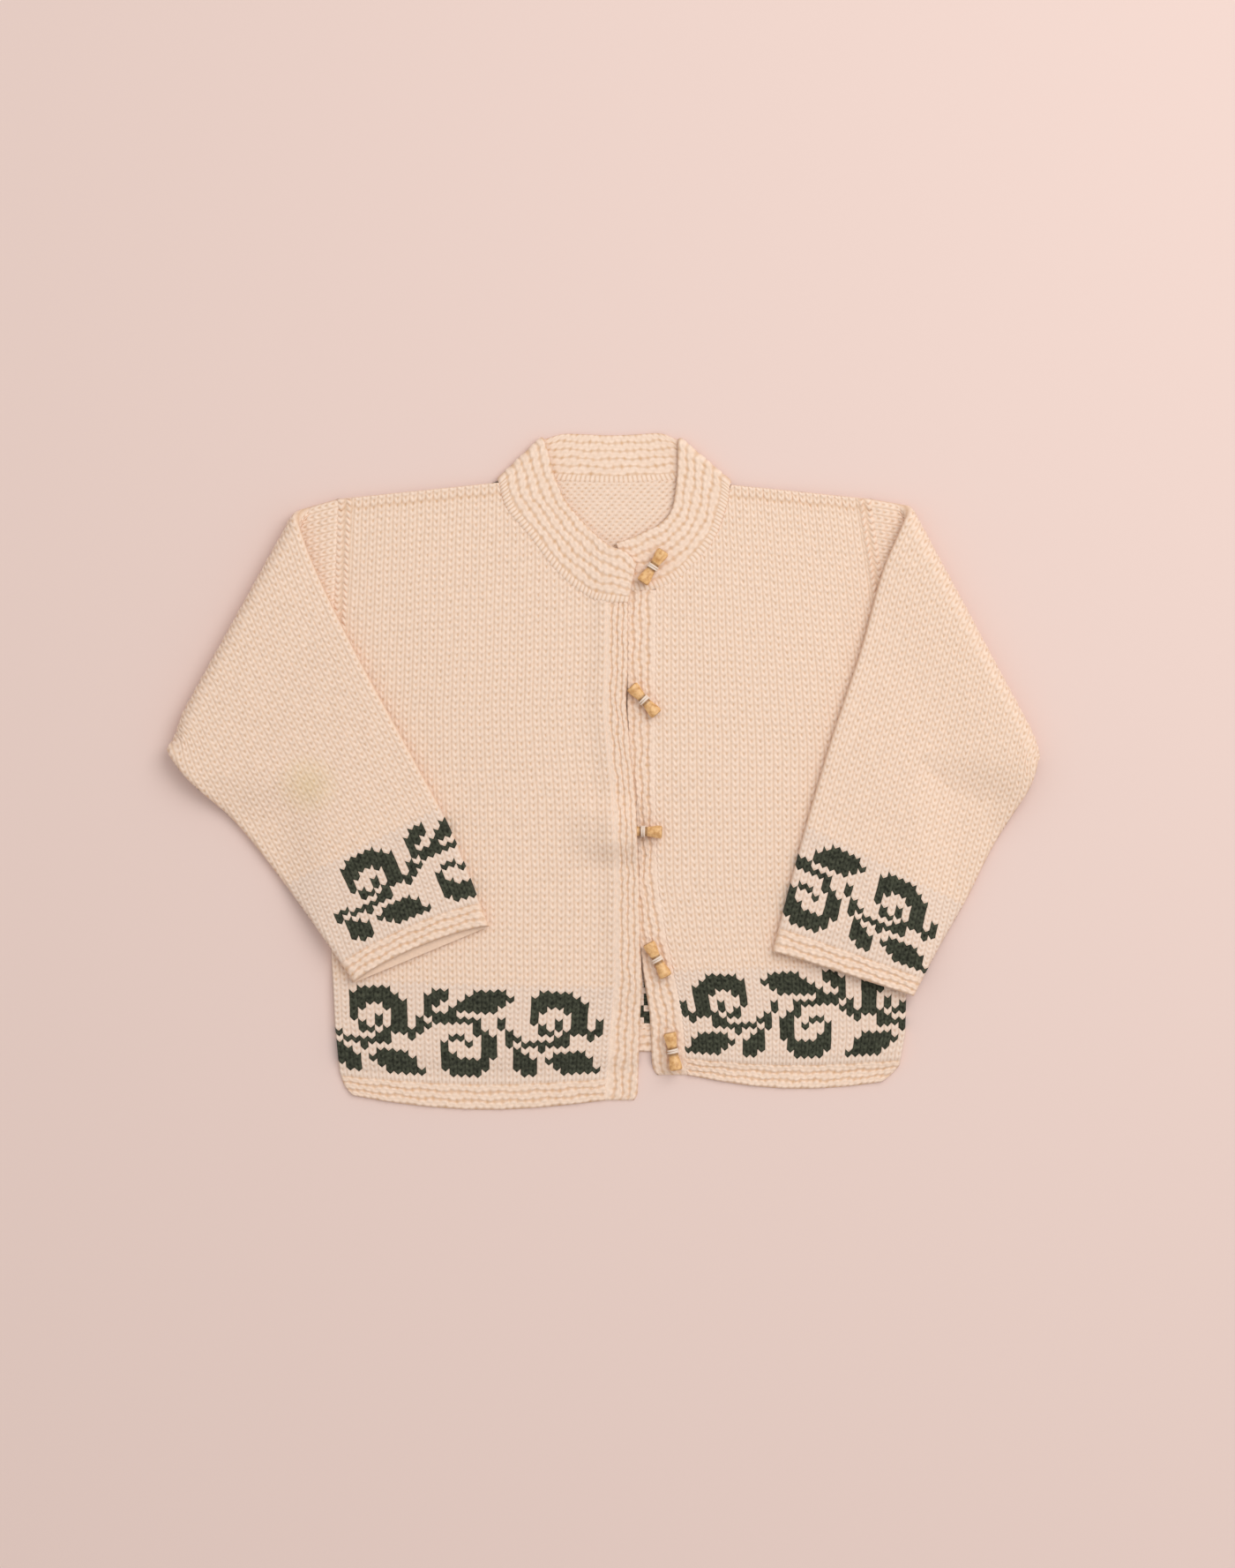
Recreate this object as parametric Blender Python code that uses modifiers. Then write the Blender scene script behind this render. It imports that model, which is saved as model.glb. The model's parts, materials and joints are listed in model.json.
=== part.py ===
"""Child's hand-knitted cardigan, laid flat with both sleeves folded over the fronts.

Z is up, X runs across the garment and Y towards the collar. The garment lies on z = 0, and
the wearer's right side is at negative X. Every piece is a knitted wall: an inner surface
worked out from the sizes below, thickened outwards. Tables are in millimetres, and
everything else is in metres.
"""

import math

import bpy
import numpy as np

MM = 0.001
MIDDLE = (-3.5 * MM, -0.3 * MM)  # of the outline in the tables, which becomes the origin

# Cloth
CLOTH = 2.4 * MM  # stocking stitch wall
GARTER = 2.6 * MM  # garter stitch wall, at the ridges
FURROW = 0.78  # wall in a garter furrow, as a share of the wall at a ridge
RIDGE_STEP = 2.5 * MM  # from a garter furrow to the next ridge
SEAM_GAP = 0.3 * MM  # between neighbouring pieces
NECK_GAP = 0.5 * MM  # the same round the curved neckline

# How the layers lie
FRONT_LIE = CLOTH + SEAM_GAP  # underside of a front on the back
OVERLAP_LIE = FRONT_LIE + GARTER + SEAM_GAP  # underside of the left front on the right band
BACK_HEM = -164.7 * MM
HEM_DROP = 12 * MM  # length over which a front comes down to the table past the back's hem
CLIMB = (26 * MM, 10 * MM)  # the left front climbs onto the right band between these distances
CLIMB_END = (-146 * MM, -119 * MM)  # below this the two bands part

# Outlines seen from above, from the hem upwards
LEFT_SIDE = {
    "y": (-192.0, -178.3, -150.0, -110.0, -1.0, 161.1),
    "x": (-156.0, -160.8, -163.6, -165.6, -167.6, -160.8),
}
RIGHT_SIDE = {
    "y": (-184.0, -174.0, -155.9, -120.0, 12.0, 161.1),
    "x": (163.5, 171.0, 174.4, 175.4, 176.5, 153.0),
}
LEFT_FREE_EDGE = {
    "y": (-195.0, -188.3, -146.4, -125.0, -104.1, -65.9, -13.6, 12.6, 38.7, 59.6, 98.8),
    "x": (15.6, 16.0, 17.3, 18.4, 17.6, 16.7, 14.4, 11.4, 9.0, 9.9, 10.2),
}
RIGHT_FREE_EDGE = {
    "y": (-180.0, -172.6, -160.0, -142.8, -118.2, -97.3, -65.9, -13.6, 38.7, 106.3),
    "x": (25.4, 24.3, 23.8, 22.8, 18.6, 15.4, 12.3, 10.0, 9.0, 8.5),
}
LEFT_BAND_WIDTH = {"y": (-195.0, -146.4, -65.9, 38.7, 98.8), "x": (19.0, 16.5, 13.5, 12.6, 12.6)}
RIGHT_BAND_WIDTH = {"y": (-180.0, -118.2, -65.9, 106.3), "x": (20.0, 18.0, 15.0, 17.9)}
SHOULDER = {"x": (-160.8, -66.2, 70.3, 153.0), "y": (161.1, 170.4, 169.1, 161.1)}
LEFT_HEM_SAG = 7.0 * MM
RIGHT_HEM_SAG = 6.0 * MM
BACK_SAG = 1.5 * MM

# Collar, as the places of its neckline edge (base) and its free edge (top)
LEFT_COLLAR = {
    "base_x": (10.2, -2.4, -12.8, -31.1, -48.9, -61.0, -65.2, -66.2),
    "base_y": (99.3, 99.5, 102.2, 116.1, 139.1, 153.0, 164.0, 170.9),
    "top_x": (15.4, 8.5, -1.0, -14.0, -26.5, -33.2, -36.6, -39.5),
    "top_y": (122.4, 130.0, 133.5, 145.0, 159.5, 174.5, 187.0, 196.3),
}
BACK_COLLAR = {
    "base_x": (-66.2, -48.0, -25.0, 2.0, 28.0, 52.0, 70.3),
    "base_y": (170.9, 172.4, 171.2, 170.2, 171.2, 172.4, 169.6),
    "top_x": (-39.5, -28.5, -15.0, 0.5, 16.0, 29.5, 39.5),
    "top_y": (196.3, 199.6, 199.4, 198.8, 199.4, 200.0, 195.9),
}
RIGHT_COLLAR = {
    "base_x": (70.3, 69.9, 67.6, 61.6, 49.4, 39.0, 26.4, 8.5),
    "base_y": (169.6, 162.0, 152.6, 137.0, 122.4, 112.9, 107.6, 106.4),
    "top_x": (39.5, 39.4, 38.9, 36.0, 29.0, 20.5, 12.3, 2.9),
    "top_y": (195.9, 184.6, 172.0, 155.0, 146.3, 142.0, 138.1, 134.9),
}
COLLAR_RIDGES = 5
COLLAR_TURN = 0.5 * MM  # inside radius where the collar folds over at each shoulder

# Sleeves: edges of each one opened out flat, from the armhole to the cuff
LEFT_SLEEVE = {
    "top_x": (-160.8, -215.0, -278.3, -346.1, -395.5, -455.0),
    "top_y": (161.1, 147.0, 139.7, 135.6, 131.9, 121.0),
    "under_x": (-167.6, -240.0, -288.2, -328.7, -389.7, -441.0),
    "under_y": (-1.0, 8.0, 16.3, 26.8, 33.0, 36.0),
}
RIGHT_SLEEVE = {
    "top_x": (153.0, 196.4, 221.1, 265.9, 320.6, 377.8, 441.0),
    "top_y": (161.1, 153.5, 148.4, 133.6, 118.5, 100.6, 79.0),
    "under_x": (176.5, 225.0, 260.9, 315.0, 352.7, 385.0, 417.0),
    "under_y": (12.0, 8.0, 6.2, 4.5, 0.0, -2.0, -5.0),
}
LEFT_CREASE = {"x": (-186.6, -254.5), "y": (137.0, 14.6)}
RIGHT_CREASE = {"x": (189.2, 250.6), "y": (117.2, 2.6)}
SLEEVE_AIR = 0.55 * MM  # half the gap between a sleeve's two walls
SLEEVE_PUFF = 0.3 * MM  # more of it along the middle
SLEEVE_TURN = 5.0 * MM  # radius of the fold, at the sleeve's middle
SLEEVE_REST = 6.8 * MM  # top of what the folded sleeve lies on
SLEEVE_SETTLE = 42 * MM  # distance from the fold over which it comes down
SLEEVE_DROOP = 32 * MM  # distance past the body's side over which it sinks to the table
CUFF_RIDGES = 3

# Bamboo toggles, which lie on the right band
TOGGLE_LENGTH = 24 * MM
TOGGLE_RADIUS = 3.8 * MM
TOGGLES = (
    {"x": 24.8, "y": 120.5, "turn": 56.0, "lies_on": 6.2},
    {"x": 19.6, "y": 41.8, "turn": -48.0, "lies_on": 5.3},
    {"x": 19.0, "y": -35.6, "turn": -2.0, "lies_on": 5.3},
    {"x": 27.4, "y": -111.4, "turn": -62.0, "lies_on": 5.3},
    {"x": 36.6, "y": -165.4, "turn": -80.0, "lies_on": 5.3},
)
TUCKED_TOGGLE = TOGGLES[2]  # its end is under the left band, which rises over it
BUMP_HEIGHT = 8.3 * MM
BUMP_LENGTH = 17 * MM  # half of it, along the band
BUMP_REACH = (46 * MM, 14 * MM)

# Colours, as the yarns and the wood look
CREAM = (0.85, 0.72, 0.55)
BAMBOO = (0.68, 0.42, 0.17)


def clear_scene():
    for obj in list(bpy.data.objects):
        bpy.data.objects.remove(obj)


def plain_material(name, colour, roughness):
    material = bpy.data.materials.new(name)
    material.use_nodes = True
    shader = material.node_tree.nodes["Principled BSDF"]
    shader.inputs["Base Color"].default_value = (*colour, 1.0)
    shader.inputs["Roughness"].default_value = roughness
    return material


def smoothstep(start, end, value):
    """0 before start, 1 past end, and an easy S between them. end may be below start."""
    share = np.clip((value - start) / (end - start), 0.0, 1.0)
    return share * share * (3 - 2 * share)


def blend(first, second, share):
    return first + (second - first) * share


def column(table, name):
    return np.array(table[name]) * MM


def x_at(table, y):
    return np.interp(y, column(table, "y"), column(table, "x"))


def shoulder_y(x):
    return np.interp(x, column(SHOULDER, "x"), column(SHOULDER, "y"))


def curve_through(table, name, at):
    """A table's column as a smooth curve, read at row numbers that need not be whole."""
    rows = column(table, name)
    slope = np.gradient(rows)
    at = np.clip(at, 0, len(rows) - 1)
    low = np.minimum(at.astype(int), len(rows) - 2)
    u = at - low
    return (
        (1 + 2 * u) * (1 - u) ** 2 * rows[low]
        + u * (1 - u) ** 2 * slope[low]
        + u * u * (3 - 2 * u) * rows[low + 1]
        + u * u * (u - 1) * slope[low + 1]
    )


def neckline(collar):
    """The collar's base as a smooth line: its x and its y."""
    at = np.linspace(0, len(collar["base_x"]) - 1, 400)
    return curve_through(collar, "base_x", at), curve_through(collar, "base_y", at)


def finish(obj, name, material):
    """Name, material and shading, and the object's place in the cardigan's collection."""
    obj.name = name
    obj.data.name = name
    obj.data.materials.clear()
    obj.data.materials.append(material)
    for collection in list(obj.users_collection):
        collection.objects.unlink(obj)
    cardigan.objects.link(obj)
    obj.data.shade_smooth()


def knitted(name, surface, columns, rows, thickness, outer_up=True, weight=None, around=False):
    """A knitted wall: a grid moved onto surface(s, t), then thickened on its outer side.

    columns and rows are the values of s and t on the grid's lines. weight(s, t) is 0 in a
    garter furrow and 1 on a ridge. around=True joins the last column to the first.
    """
    bpy.ops.mesh.primitive_grid_add(
        x_subdivisions=len(columns) - 1, y_subdivisions=len(rows) - 1, size=1
    )
    obj = bpy.context.object
    mesh = obj.data
    flat = np.empty(len(mesh.vertices) * 3)
    mesh.vertices.foreach_get("co", flat)
    place = flat.reshape(-1, 3)[:, :2] + 0.5
    s = np.asarray(columns)[np.rint(place[:, 0] * (len(columns) - 1)).astype(int)]
    t = np.asarray(rows)[np.rint(place[:, 1] * (len(rows) - 1)).astype(int)]
    mesh.vertices.foreach_set("co", (surface(s, t) - (*MIDDLE, 0.0)).ravel())
    if not outer_up:
        mesh.flip_normals()
    if around:
        seam = obj.modifiers.new("Join", "WELD")
        seam.merge_threshold = 0.00005
    wall = obj.modifiers.new("Wall", "SOLIDIFY")
    wall.thickness = thickness
    wall.offset = 1.0
    if weight is not None:
        group = obj.vertex_groups.new(name="ridges")
        for index, share in enumerate(weight(s, t)):
            group.add([index], float(share), "REPLACE")
        wall.vertex_group = group.name
        wall.thickness_vertex_group = FURROW
    finish(obj, name, cream_yarn)
    return obj


def garter_then_plain(length, ridges, *parts):
    """Rows in 0..1: garter ridges from the start, then even rows up to each (end, count) part."""
    rows = [k * RIDGE_STEP / length for k in range(2 * ridges + 1)]
    for end, count in parts:
        rows += list(np.linspace(rows[-1], end, count + 1)[1:])
    return rows


def garter_weight(rows, ridges):
    """0 in the furrows between the garter ridges, and 1 on the ridges and the plain rows."""
    furrow_rows = np.array(rows[2 : 2 * ridges + 1 : 2])

    def weight(s, t):
        in_furrow = np.isclose(t[:, None], furrow_rows).any(axis=1)
        return np.where(in_furrow, 0.0, 1.0)

    return weight


def on_back(y):
    """1 on the back, falling to 0 past its hem."""
    start = BACK_HEM - BACK_SAG - 1 * MM
    return smoothstep(start - HEM_DROP, start, y)


def right_lie(x, y):
    """Underside of the right front and its band."""
    return FRONT_LIE * on_back(y)


def left_lie(x, y):
    """Underside of the left front and its band, which lie over the right band and one toggle."""
    inside = x_at(LEFT_FREE_EDGE, y) - x
    climb = smoothstep(*CLIMB, inside) * smoothstep(*CLIMB_END, y)
    away = (y - TUCKED_TOGGLE["y"] * MM) / BUMP_LENGTH
    bump = smoothstep(1.0, 0.4, np.abs(away)) * smoothstep(*BUMP_REACH, inside)
    return FRONT_LIE * on_back(y) + (OVERLAP_LIE - FRONT_LIE) * climb + BUMP_HEIGHT * bump


def make_back():
    """The back lies on the table, its inside up, from the hem to the shoulders and neckline."""
    rows = garter_then_plain(330 * MM, 2, (1.0, 14))
    neck_x, neck_y = neckline(BACK_COLLAR)

    def surface(s, t):
        along = blend(LEFT_SIDE["x"][-1] * MM, RIGHT_SIDE["x"][-1] * MM, s)
        hem = BACK_HEM - BACK_SAG * np.sin(math.pi * s)
        top = np.minimum(shoulder_y(along), np.interp(along, neck_x, neck_y - NECK_GAP))
        y = blend(hem, top, t)
        level = np.minimum(y, shoulder_y(LEFT_SIDE["x"][-1] * MM))
        left_edge = x_at(LEFT_SIDE, level) + SEAM_GAP
        right_edge = x_at(RIGHT_SIDE, level) - SEAM_GAP
        x = blend(left_edge, right_edge, s)
        return np.stack([x, y, np.full(len(s), CLOTH)], 1)

    corners = (column(SHOULDER, "x") - SHOULDER["x"][0] * MM) / (
        (SHOULDER["x"][-1] - SHOULDER["x"][0]) * MM
    )
    columns = []
    for start, end, count in zip(corners, corners[1:], (5, 8, 5)):
        columns += list(np.linspace(start, end, count + 1)[:-1])
    knitted(
        "back",
        surface,
        columns + [1.0],
        rows,
        CLOTH,
        outer_up=False,
        weight=garter_weight(rows, 2),
    )


def front_rows(neck_start, hem, shoulder):
    """Rows of a front: garter ridges, then rows that are close where it climbs."""
    length = shoulder - hem
    toggle = TUCKED_TOGGLE["y"] * MM
    stops = (
        (BACK_HEM + 2 * MM, 5),
        (toggle - BUMP_LENGTH, 5),
        (toggle + BUMP_LENGTH, 8),
        (neck_start, 6),
        (neck_start + 1.5 * MM, 1),
        (neck_start + 10 * MM, 4),
        (shoulder, 7),
    )
    return garter_then_plain(
        length, 3, *(((stop - hem) / length, count) for stop, count in stops)
    )


def make_front(name, side, free, width, collar, sag, lie, turn):
    """A front, from its side edge (s = 0) to its band's seam or its neckline (s = 1).

    turn is 1 where s runs towards positive X and -1 where it runs the other way.
    """
    hem = free["y"][0] * MM
    neck_start = free["y"][-1] * MM
    neck_x, neck_y = neckline(collar)
    order = np.argsort(neck_y)
    shoulder = neck_y.max() - NECK_GAP
    side_hem = side["y"][0] * MM
    side_top = side["y"][-1] * MM
    rows = front_rows(neck_start, hem, shoulder)

    def inner_edge(y):
        seam = x_at(free, y) - turn * (x_at(width, y) + SEAM_GAP)
        neckline = np.interp(y + NECK_GAP, neck_y[order], neck_x[order]) - turn * NECK_GAP
        return np.where(y <= neck_start + 0.01 * MM, seam, neckline)

    def surface(s, t):
        side_y = blend(side_hem, side_top, t)
        front_y = blend(hem, shoulder, t)
        outer_edge = x_at(side, side_y) + turn * SEAM_GAP
        x = blend(outer_edge, inner_edge(front_y), s)
        y = blend(side_y, front_y, s) - sag * np.sin(math.pi * s) * (1 - t) ** 8
        return np.stack([x, y, lie(x, y)], 1)

    columns = list(1 - (1 - np.linspace(0, 1, 13)) ** 1.5)
    knitted(
        name,
        surface,
        columns,
        rows,
        CLOTH,
        outer_up=turn > 0,
        weight=garter_weight(rows, 3),
    )


def make_band(name, free, width, collar, lie, turn):
    """A front band: garter ridges run along it, from the hem to the collar's end."""
    hem = free["y"][0] * MM
    neck_start = free["y"][-1] * MM
    shoulder = neckline(collar)[1].max() - NECK_GAP
    levels = blend(hem, shoulder, np.array(front_rows(neck_start, hem, shoulder)))
    levels = levels[levels <= neck_start + 0.01 * MM]
    levels[-1] -= NECK_GAP

    def surface(s, t):
        y = t
        x = x_at(free, y) - turn * x_at(width, y) * (1 - s)
        return np.stack([x, y, lie(x, y)], 1)

    columns = np.linspace(0, 1, 9)
    knitted(
        name,
        surface,
        columns,
        levels,
        GARTER,
        outer_up=turn > 0,
        weight=lambda s, t: np.rint(s * 8) % 2,
    )


def make_collar():
    """The collar stands on the neckline: fronts on top, back on the table, folded at each shoulder."""
    back_level = GARTER
    front_level = GARTER + 2 * COLLAR_TURN

    def stretch(table, count):
        at = np.linspace(0, len(table["base_x"]) - 1, count)
        names = ("base_x", "base_y", "top_x", "top_y")
        return [curve_through(table, name, at) for name in names]

    def turned(table, row, sign):
        """Three lines round the fold, between the levels of the front and of the back."""
        base = np.array([table["base_x"][row], table["base_y"][row]]) * MM
        top = np.array([table["top_x"][row], table["top_y"][row]]) * MM
        way = (top - base) / np.linalg.norm(top - base)
        out = np.array([way[1], -way[0]]) * sign
        lines = []
        for angle in np.radians((135.0, 90.0, 45.0)):
            move = out * COLLAR_TURN * math.sin(angle)
            height = back_level + COLLAR_TURN * (1 - math.cos(angle))
            lines.append((*(base + move), height, *(top + move), height))
        return lines if sign < 0 else lines[::-1]

    lines = []
    base_x, base_y, top_x, top_y = stretch(LEFT_COLLAR, 15)
    for k in range(15):
        low = front_level + left_lie(base_x[k], base_y[k] - 1 * MM) - FRONT_LIE
        high = front_level + left_lie(top_x[k], base_y[k] - 1 * MM) - FRONT_LIE
        lines.append((base_x[k], base_y[k], low, top_x[k], top_y[k], high))
    lines += turned(BACK_COLLAR, 0, -1)
    base_x, base_y, top_x, top_y = stretch(BACK_COLLAR, 13)
    for k in range(13):
        lines.append((base_x[k], base_y[k], back_level, top_x[k], top_y[k], back_level))
    lines += turned(BACK_COLLAR, -1, 1)
    base_x, base_y, top_x, top_y = stretch(RIGHT_COLLAR, 15)
    for k in range(15):
        lines.append((base_x[k], base_y[k], front_level, top_x[k], top_y[k], front_level))
    lines = np.array(lines)

    def surface(s, t):
        line = lines[np.rint(s).astype(int)]
        return blend(line[:, :3], line[:, 3:], t[:, None])

    rows = np.linspace(0, 1, 2 * COLLAR_RIDGES + 1)
    knitted(
        "collar",
        surface,
        range(len(lines)),
        rows,
        GARTER,
        outer_up=False,
        weight=lambda s, t: np.rint(t * 2 * COLLAR_RIDGES) % 2,
    )


def ring_of_sleeve():
    """One ring round a flattened sleeve: share of its width, and side of its middle (-1 to 1)."""
    across = np.linspace(0, 1, 9)[1:-1]
    ring = [(0.0, angle) for angle in (-90, -45, 0, 45, 90)]
    ring += [(share, 90) for share in across]
    ring += [(1.0, angle) for angle in (90, 45, 0, -45, -90)]
    ring += [(share, -90) for share in across[::-1]]
    return np.array(ring + ring[:1])


def make_sleeve(name, sleeve, crease, side, turn):
    """A sleeve: a flat tapered tube from the armhole, folded back over a slanting crease."""
    ring = ring_of_sleeve()
    crease_x = column(crease, "x")
    crease_y = column(crease, "y")
    crease_way = np.array([crease_x[1] - crease_x[0], crease_y[1] - crease_y[0]])
    crease_way /= np.linalg.norm(crease_way)
    outward = np.array([-crease_way[1], crease_way[0]]) * -turn
    level = CLOTH + SLEEVE_AIR + SLEEVE_PUFF
    round_fold = math.pi * SLEEVE_TURN
    places = np.linspace(0, len(sleeve["top_x"]) - 1, 600)
    top = np.stack([curve_through(sleeve, "top_x", places), curve_through(sleeve, "top_y", places)], 1)
    under = np.stack(
        [curve_through(sleeve, "under_x", places), curve_through(sleeve, "under_y", places)], 1
    )
    corner = np.array([crease_x[0], crease_y[0]])
    past_top = (top - corner) @ outward
    past_under = (under - corner) @ outward

    def stations(past):
        """Places along one edge: even steps to the fold, round it, and on to the cuff."""
        start, end = np.interp((0, round_fold), past, places)
        whole = places[-1]
        steps = list(np.linspace(0.0, start, 4)[:-1])
        steps += list(np.linspace(start, end, 7)[:-1])
        garter = 2 * CUFF_RIDGES * RIDGE_STEP / (280 * MM) * whole
        steps += list(np.linspace(end, whole - garter, 13)[:-1])
        steps += list(np.linspace(whole - garter, whole, 2 * CUFF_RIDGES + 1))
        return np.array(steps)

    along_top = stations(past_top)
    along_under = stations(past_under)
    count = len(along_top)

    def read_edge(points, at):
        return np.stack([np.interp(at, places, points[:, k]) for k in (0, 1)], 1)

    def folded(flat, offset):
        """A point of the opened-out sleeve, offset from its middle, after folding."""
        past = (flat - corner) @ outward
        angle = np.clip(past / SLEEVE_TURN, 0, math.pi)
        back = np.maximum(past - round_fold, 0)
        reach = np.minimum(past, 0) + SLEEVE_TURN * np.sin(angle) - back
        reach -= offset * np.sin(angle)
        place = flat + outward * (reach - past)[:, None]
        beside = (x_at(side, place[:, 1]) - place[:, 0]) * turn
        hem_line = column(side, "y")[-2]
        below = hem_line + 1 * MM - place[:, 1]
        off = np.minimum(beside, below)
        rest = SLEEVE_REST * (1 - smoothstep(0, SLEEVE_DROOP, off)) + level
        crest = level + 2 * SLEEVE_TURN
        settled = blend(crest, rest, smoothstep(0, SLEEVE_SETTLE, back))
        bent = level + SLEEVE_TURN * (1 - np.cos(angle))
        height = np.where(past > round_fold, settled, bent) + offset * np.cos(angle)
        return np.column_stack([place, height])

    def surface(s, t):
        index = np.rint(s).astype(int)
        row = np.rint(t).astype(int)
        share = ring[index, 0]
        angle = np.radians(ring[index, 1])
        high = read_edge(top, along_top[row])
        low = read_edge(under, along_under[row])
        across = low - high
        width = np.linalg.norm(across, axis=1)
        start = (CLOTH + SLEEVE_AIR) / width
        round_edge = np.where(share == 0, -1, np.where(share == 1, 1, 0))
        shift = start + (1 - 2 * start) * share + round_edge * np.cos(angle) * SLEEVE_AIR / width
        flat = high + across * shift[:, None]
        offset = (SLEEVE_AIR + SLEEVE_PUFF * np.sin(math.pi * share)) * np.sin(angle)
        return folded(flat, offset)

    def weight(s, t):
        row = np.rint(t).astype(int)
        garter_start = count - 1 - 2 * CUFF_RIDGES
        in_furrow = (row >= garter_start) & ((row - garter_start) % 2 == 0)
        return np.where(in_furrow & (row < count - 1), 0.0, 1.0)

    knitted(
        name,
        surface,
        range(len(ring)),
        range(count),
        CLOTH,
        outer_up=turn < 0,
        weight=weight,
        around=True,
    )


def make_toggle(name, x, y, turn, lies_on):
    """A turned bamboo toggle: full at its ends, with a waist where it is sewn on."""
    half = TOGGLE_LENGTH / 2
    profile = (
        (0.0, -half),
        (TOGGLE_RADIUS * 0.82, -half),
        (TOGGLE_RADIUS, -half * 0.93),
        (TOGGLE_RADIUS * 0.94, -half * 0.6),
        (TOGGLE_RADIUS * 0.84, -half * 0.28),
        (TOGGLE_RADIUS * 0.72, -half * 0.12),
        (TOGGLE_RADIUS * 0.72, half * 0.12),
        (TOGGLE_RADIUS * 0.84, half * 0.28),
        (TOGGLE_RADIUS * 0.94, half * 0.6),
        (TOGGLE_RADIUS, half * 0.93),
        (TOGGLE_RADIUS * 0.82, half),
        (0.0, half),
    )
    mesh = bpy.data.meshes.new(name)
    mesh.from_pydata(
        [(0.0, radius, along) for radius, along in profile],
        [(k, k + 1) for k in range(len(profile) - 1)],
        [],
    )
    obj = bpy.data.objects.new(name, mesh)
    bpy.context.scene.collection.objects.link(obj)
    lathe = obj.modifiers.new("Lathe", "SCREW")
    lathe.steps = 14
    lathe.render_steps = 14
    lathe.use_merge_vertices = True
    lathe.merge_threshold = 0.0001
    lathe.use_normal_flip = True
    height = lies_on * MM + SEAM_GAP + TOGGLE_RADIUS
    obj.location = (x * MM - MIDDLE[0], y * MM - MIDDLE[1], height)
    obj.rotation_euler = (0.0, math.pi / 2, math.radians(turn))
    finish(obj, name, bamboo)


clear_scene()
cardigan = bpy.data.collections.new("cardigan")
bpy.context.scene.collection.children.link(cardigan)
cream_yarn = plain_material("cream wool yarn", CREAM, 0.9)
bamboo = plain_material("turned bamboo", BAMBOO, 0.45)

make_back()
make_front(
    "front_left",
    LEFT_SIDE,
    LEFT_FREE_EDGE,
    LEFT_BAND_WIDTH,
    LEFT_COLLAR,
    LEFT_HEM_SAG,
    left_lie,
    1,
)
make_front(
    "front_right",
    RIGHT_SIDE,
    RIGHT_FREE_EDGE,
    RIGHT_BAND_WIDTH,
    RIGHT_COLLAR,
    RIGHT_HEM_SAG,
    right_lie,
    -1,
)
make_band("band_left", LEFT_FREE_EDGE, LEFT_BAND_WIDTH, LEFT_COLLAR, left_lie, 1)
make_band("band_right", RIGHT_FREE_EDGE, RIGHT_BAND_WIDTH, RIGHT_COLLAR, right_lie, -1)
make_collar()
make_sleeve("sleeve_left", LEFT_SLEEVE, LEFT_CREASE, LEFT_SIDE, 1)
make_sleeve("sleeve_right", RIGHT_SLEEVE, RIGHT_CREASE, RIGHT_SIDE, -1)
for number, toggle in enumerate(TOGGLES, 1):
    make_toggle(f"toggle_{number}", **toggle)
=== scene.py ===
"""Child's hand-knitted cardigan laid flat: every knitted piece as a surface of real stitches.

Shapes are worked out in millimetres on the table, X across the garment and Y towards the
collar, and moved to the frame's origin when a mesh is made.
"""

import json
import math
from math import pi, tau

import bpy
import numpy as np
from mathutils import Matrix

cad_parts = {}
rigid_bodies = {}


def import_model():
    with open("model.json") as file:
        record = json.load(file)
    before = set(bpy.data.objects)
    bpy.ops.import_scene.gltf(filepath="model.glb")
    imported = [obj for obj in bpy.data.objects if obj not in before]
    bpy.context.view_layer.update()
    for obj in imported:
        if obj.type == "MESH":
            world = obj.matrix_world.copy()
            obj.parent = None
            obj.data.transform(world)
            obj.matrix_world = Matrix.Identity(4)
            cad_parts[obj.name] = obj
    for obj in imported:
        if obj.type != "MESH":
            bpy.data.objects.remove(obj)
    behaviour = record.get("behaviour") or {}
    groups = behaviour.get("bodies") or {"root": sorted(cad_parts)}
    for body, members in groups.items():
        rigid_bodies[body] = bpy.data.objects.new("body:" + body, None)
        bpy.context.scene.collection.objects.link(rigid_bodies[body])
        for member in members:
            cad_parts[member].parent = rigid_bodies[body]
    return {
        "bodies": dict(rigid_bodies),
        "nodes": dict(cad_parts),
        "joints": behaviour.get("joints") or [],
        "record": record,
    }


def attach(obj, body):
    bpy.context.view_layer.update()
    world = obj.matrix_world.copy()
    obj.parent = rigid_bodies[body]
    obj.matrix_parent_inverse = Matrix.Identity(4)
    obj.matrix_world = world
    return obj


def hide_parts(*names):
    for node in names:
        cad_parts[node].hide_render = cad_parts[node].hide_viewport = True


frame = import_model()

bl_info = {
    "name": "Knitted cardigan",
    "version": (1, 0, 0),
    "blender": (4, 5, 0),
    "location": "View3D > Sidebar > Cardigan",
    "description": "Builds a child's stranded cardigan, laid flat, stitch by stitch",
    "category": "Add Mesh",
}

MIDDLE = np.array((-3.5, -0.3, 0.0))  # of the garment's outline, which is the frame's origin

# Walls and how the layers lie, in mm
WALL = 2.0  # stocking stitch without its relief
SEAM_GAP = 0.3
UNDERSIDE = 0.05  # height at which the cloth touches the table
FRONT_LIE = 2.7  # height of the fronts' underside on the back
OVERLAP_LIE = 5.6  # the same where the left front lies on the right band
BACK_HEM = -164.7
HEM_DROP = 12.0  # length over which the fronts sink to the table below the back's hem
CLIMB = (26.0, 10.0)  # distances from the left free edge between which the front climbs
CLIMB_END = (-146.0, -119.0)  # heights between which the climb sets in
BUMP_Y = -35.6  # the left front rises here over the third toggle
BUMP_HEIGHT = 8.3
BUMP_LENGTH = 17.0
BUMP_REACH = (46.0, 14.0)

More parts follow.
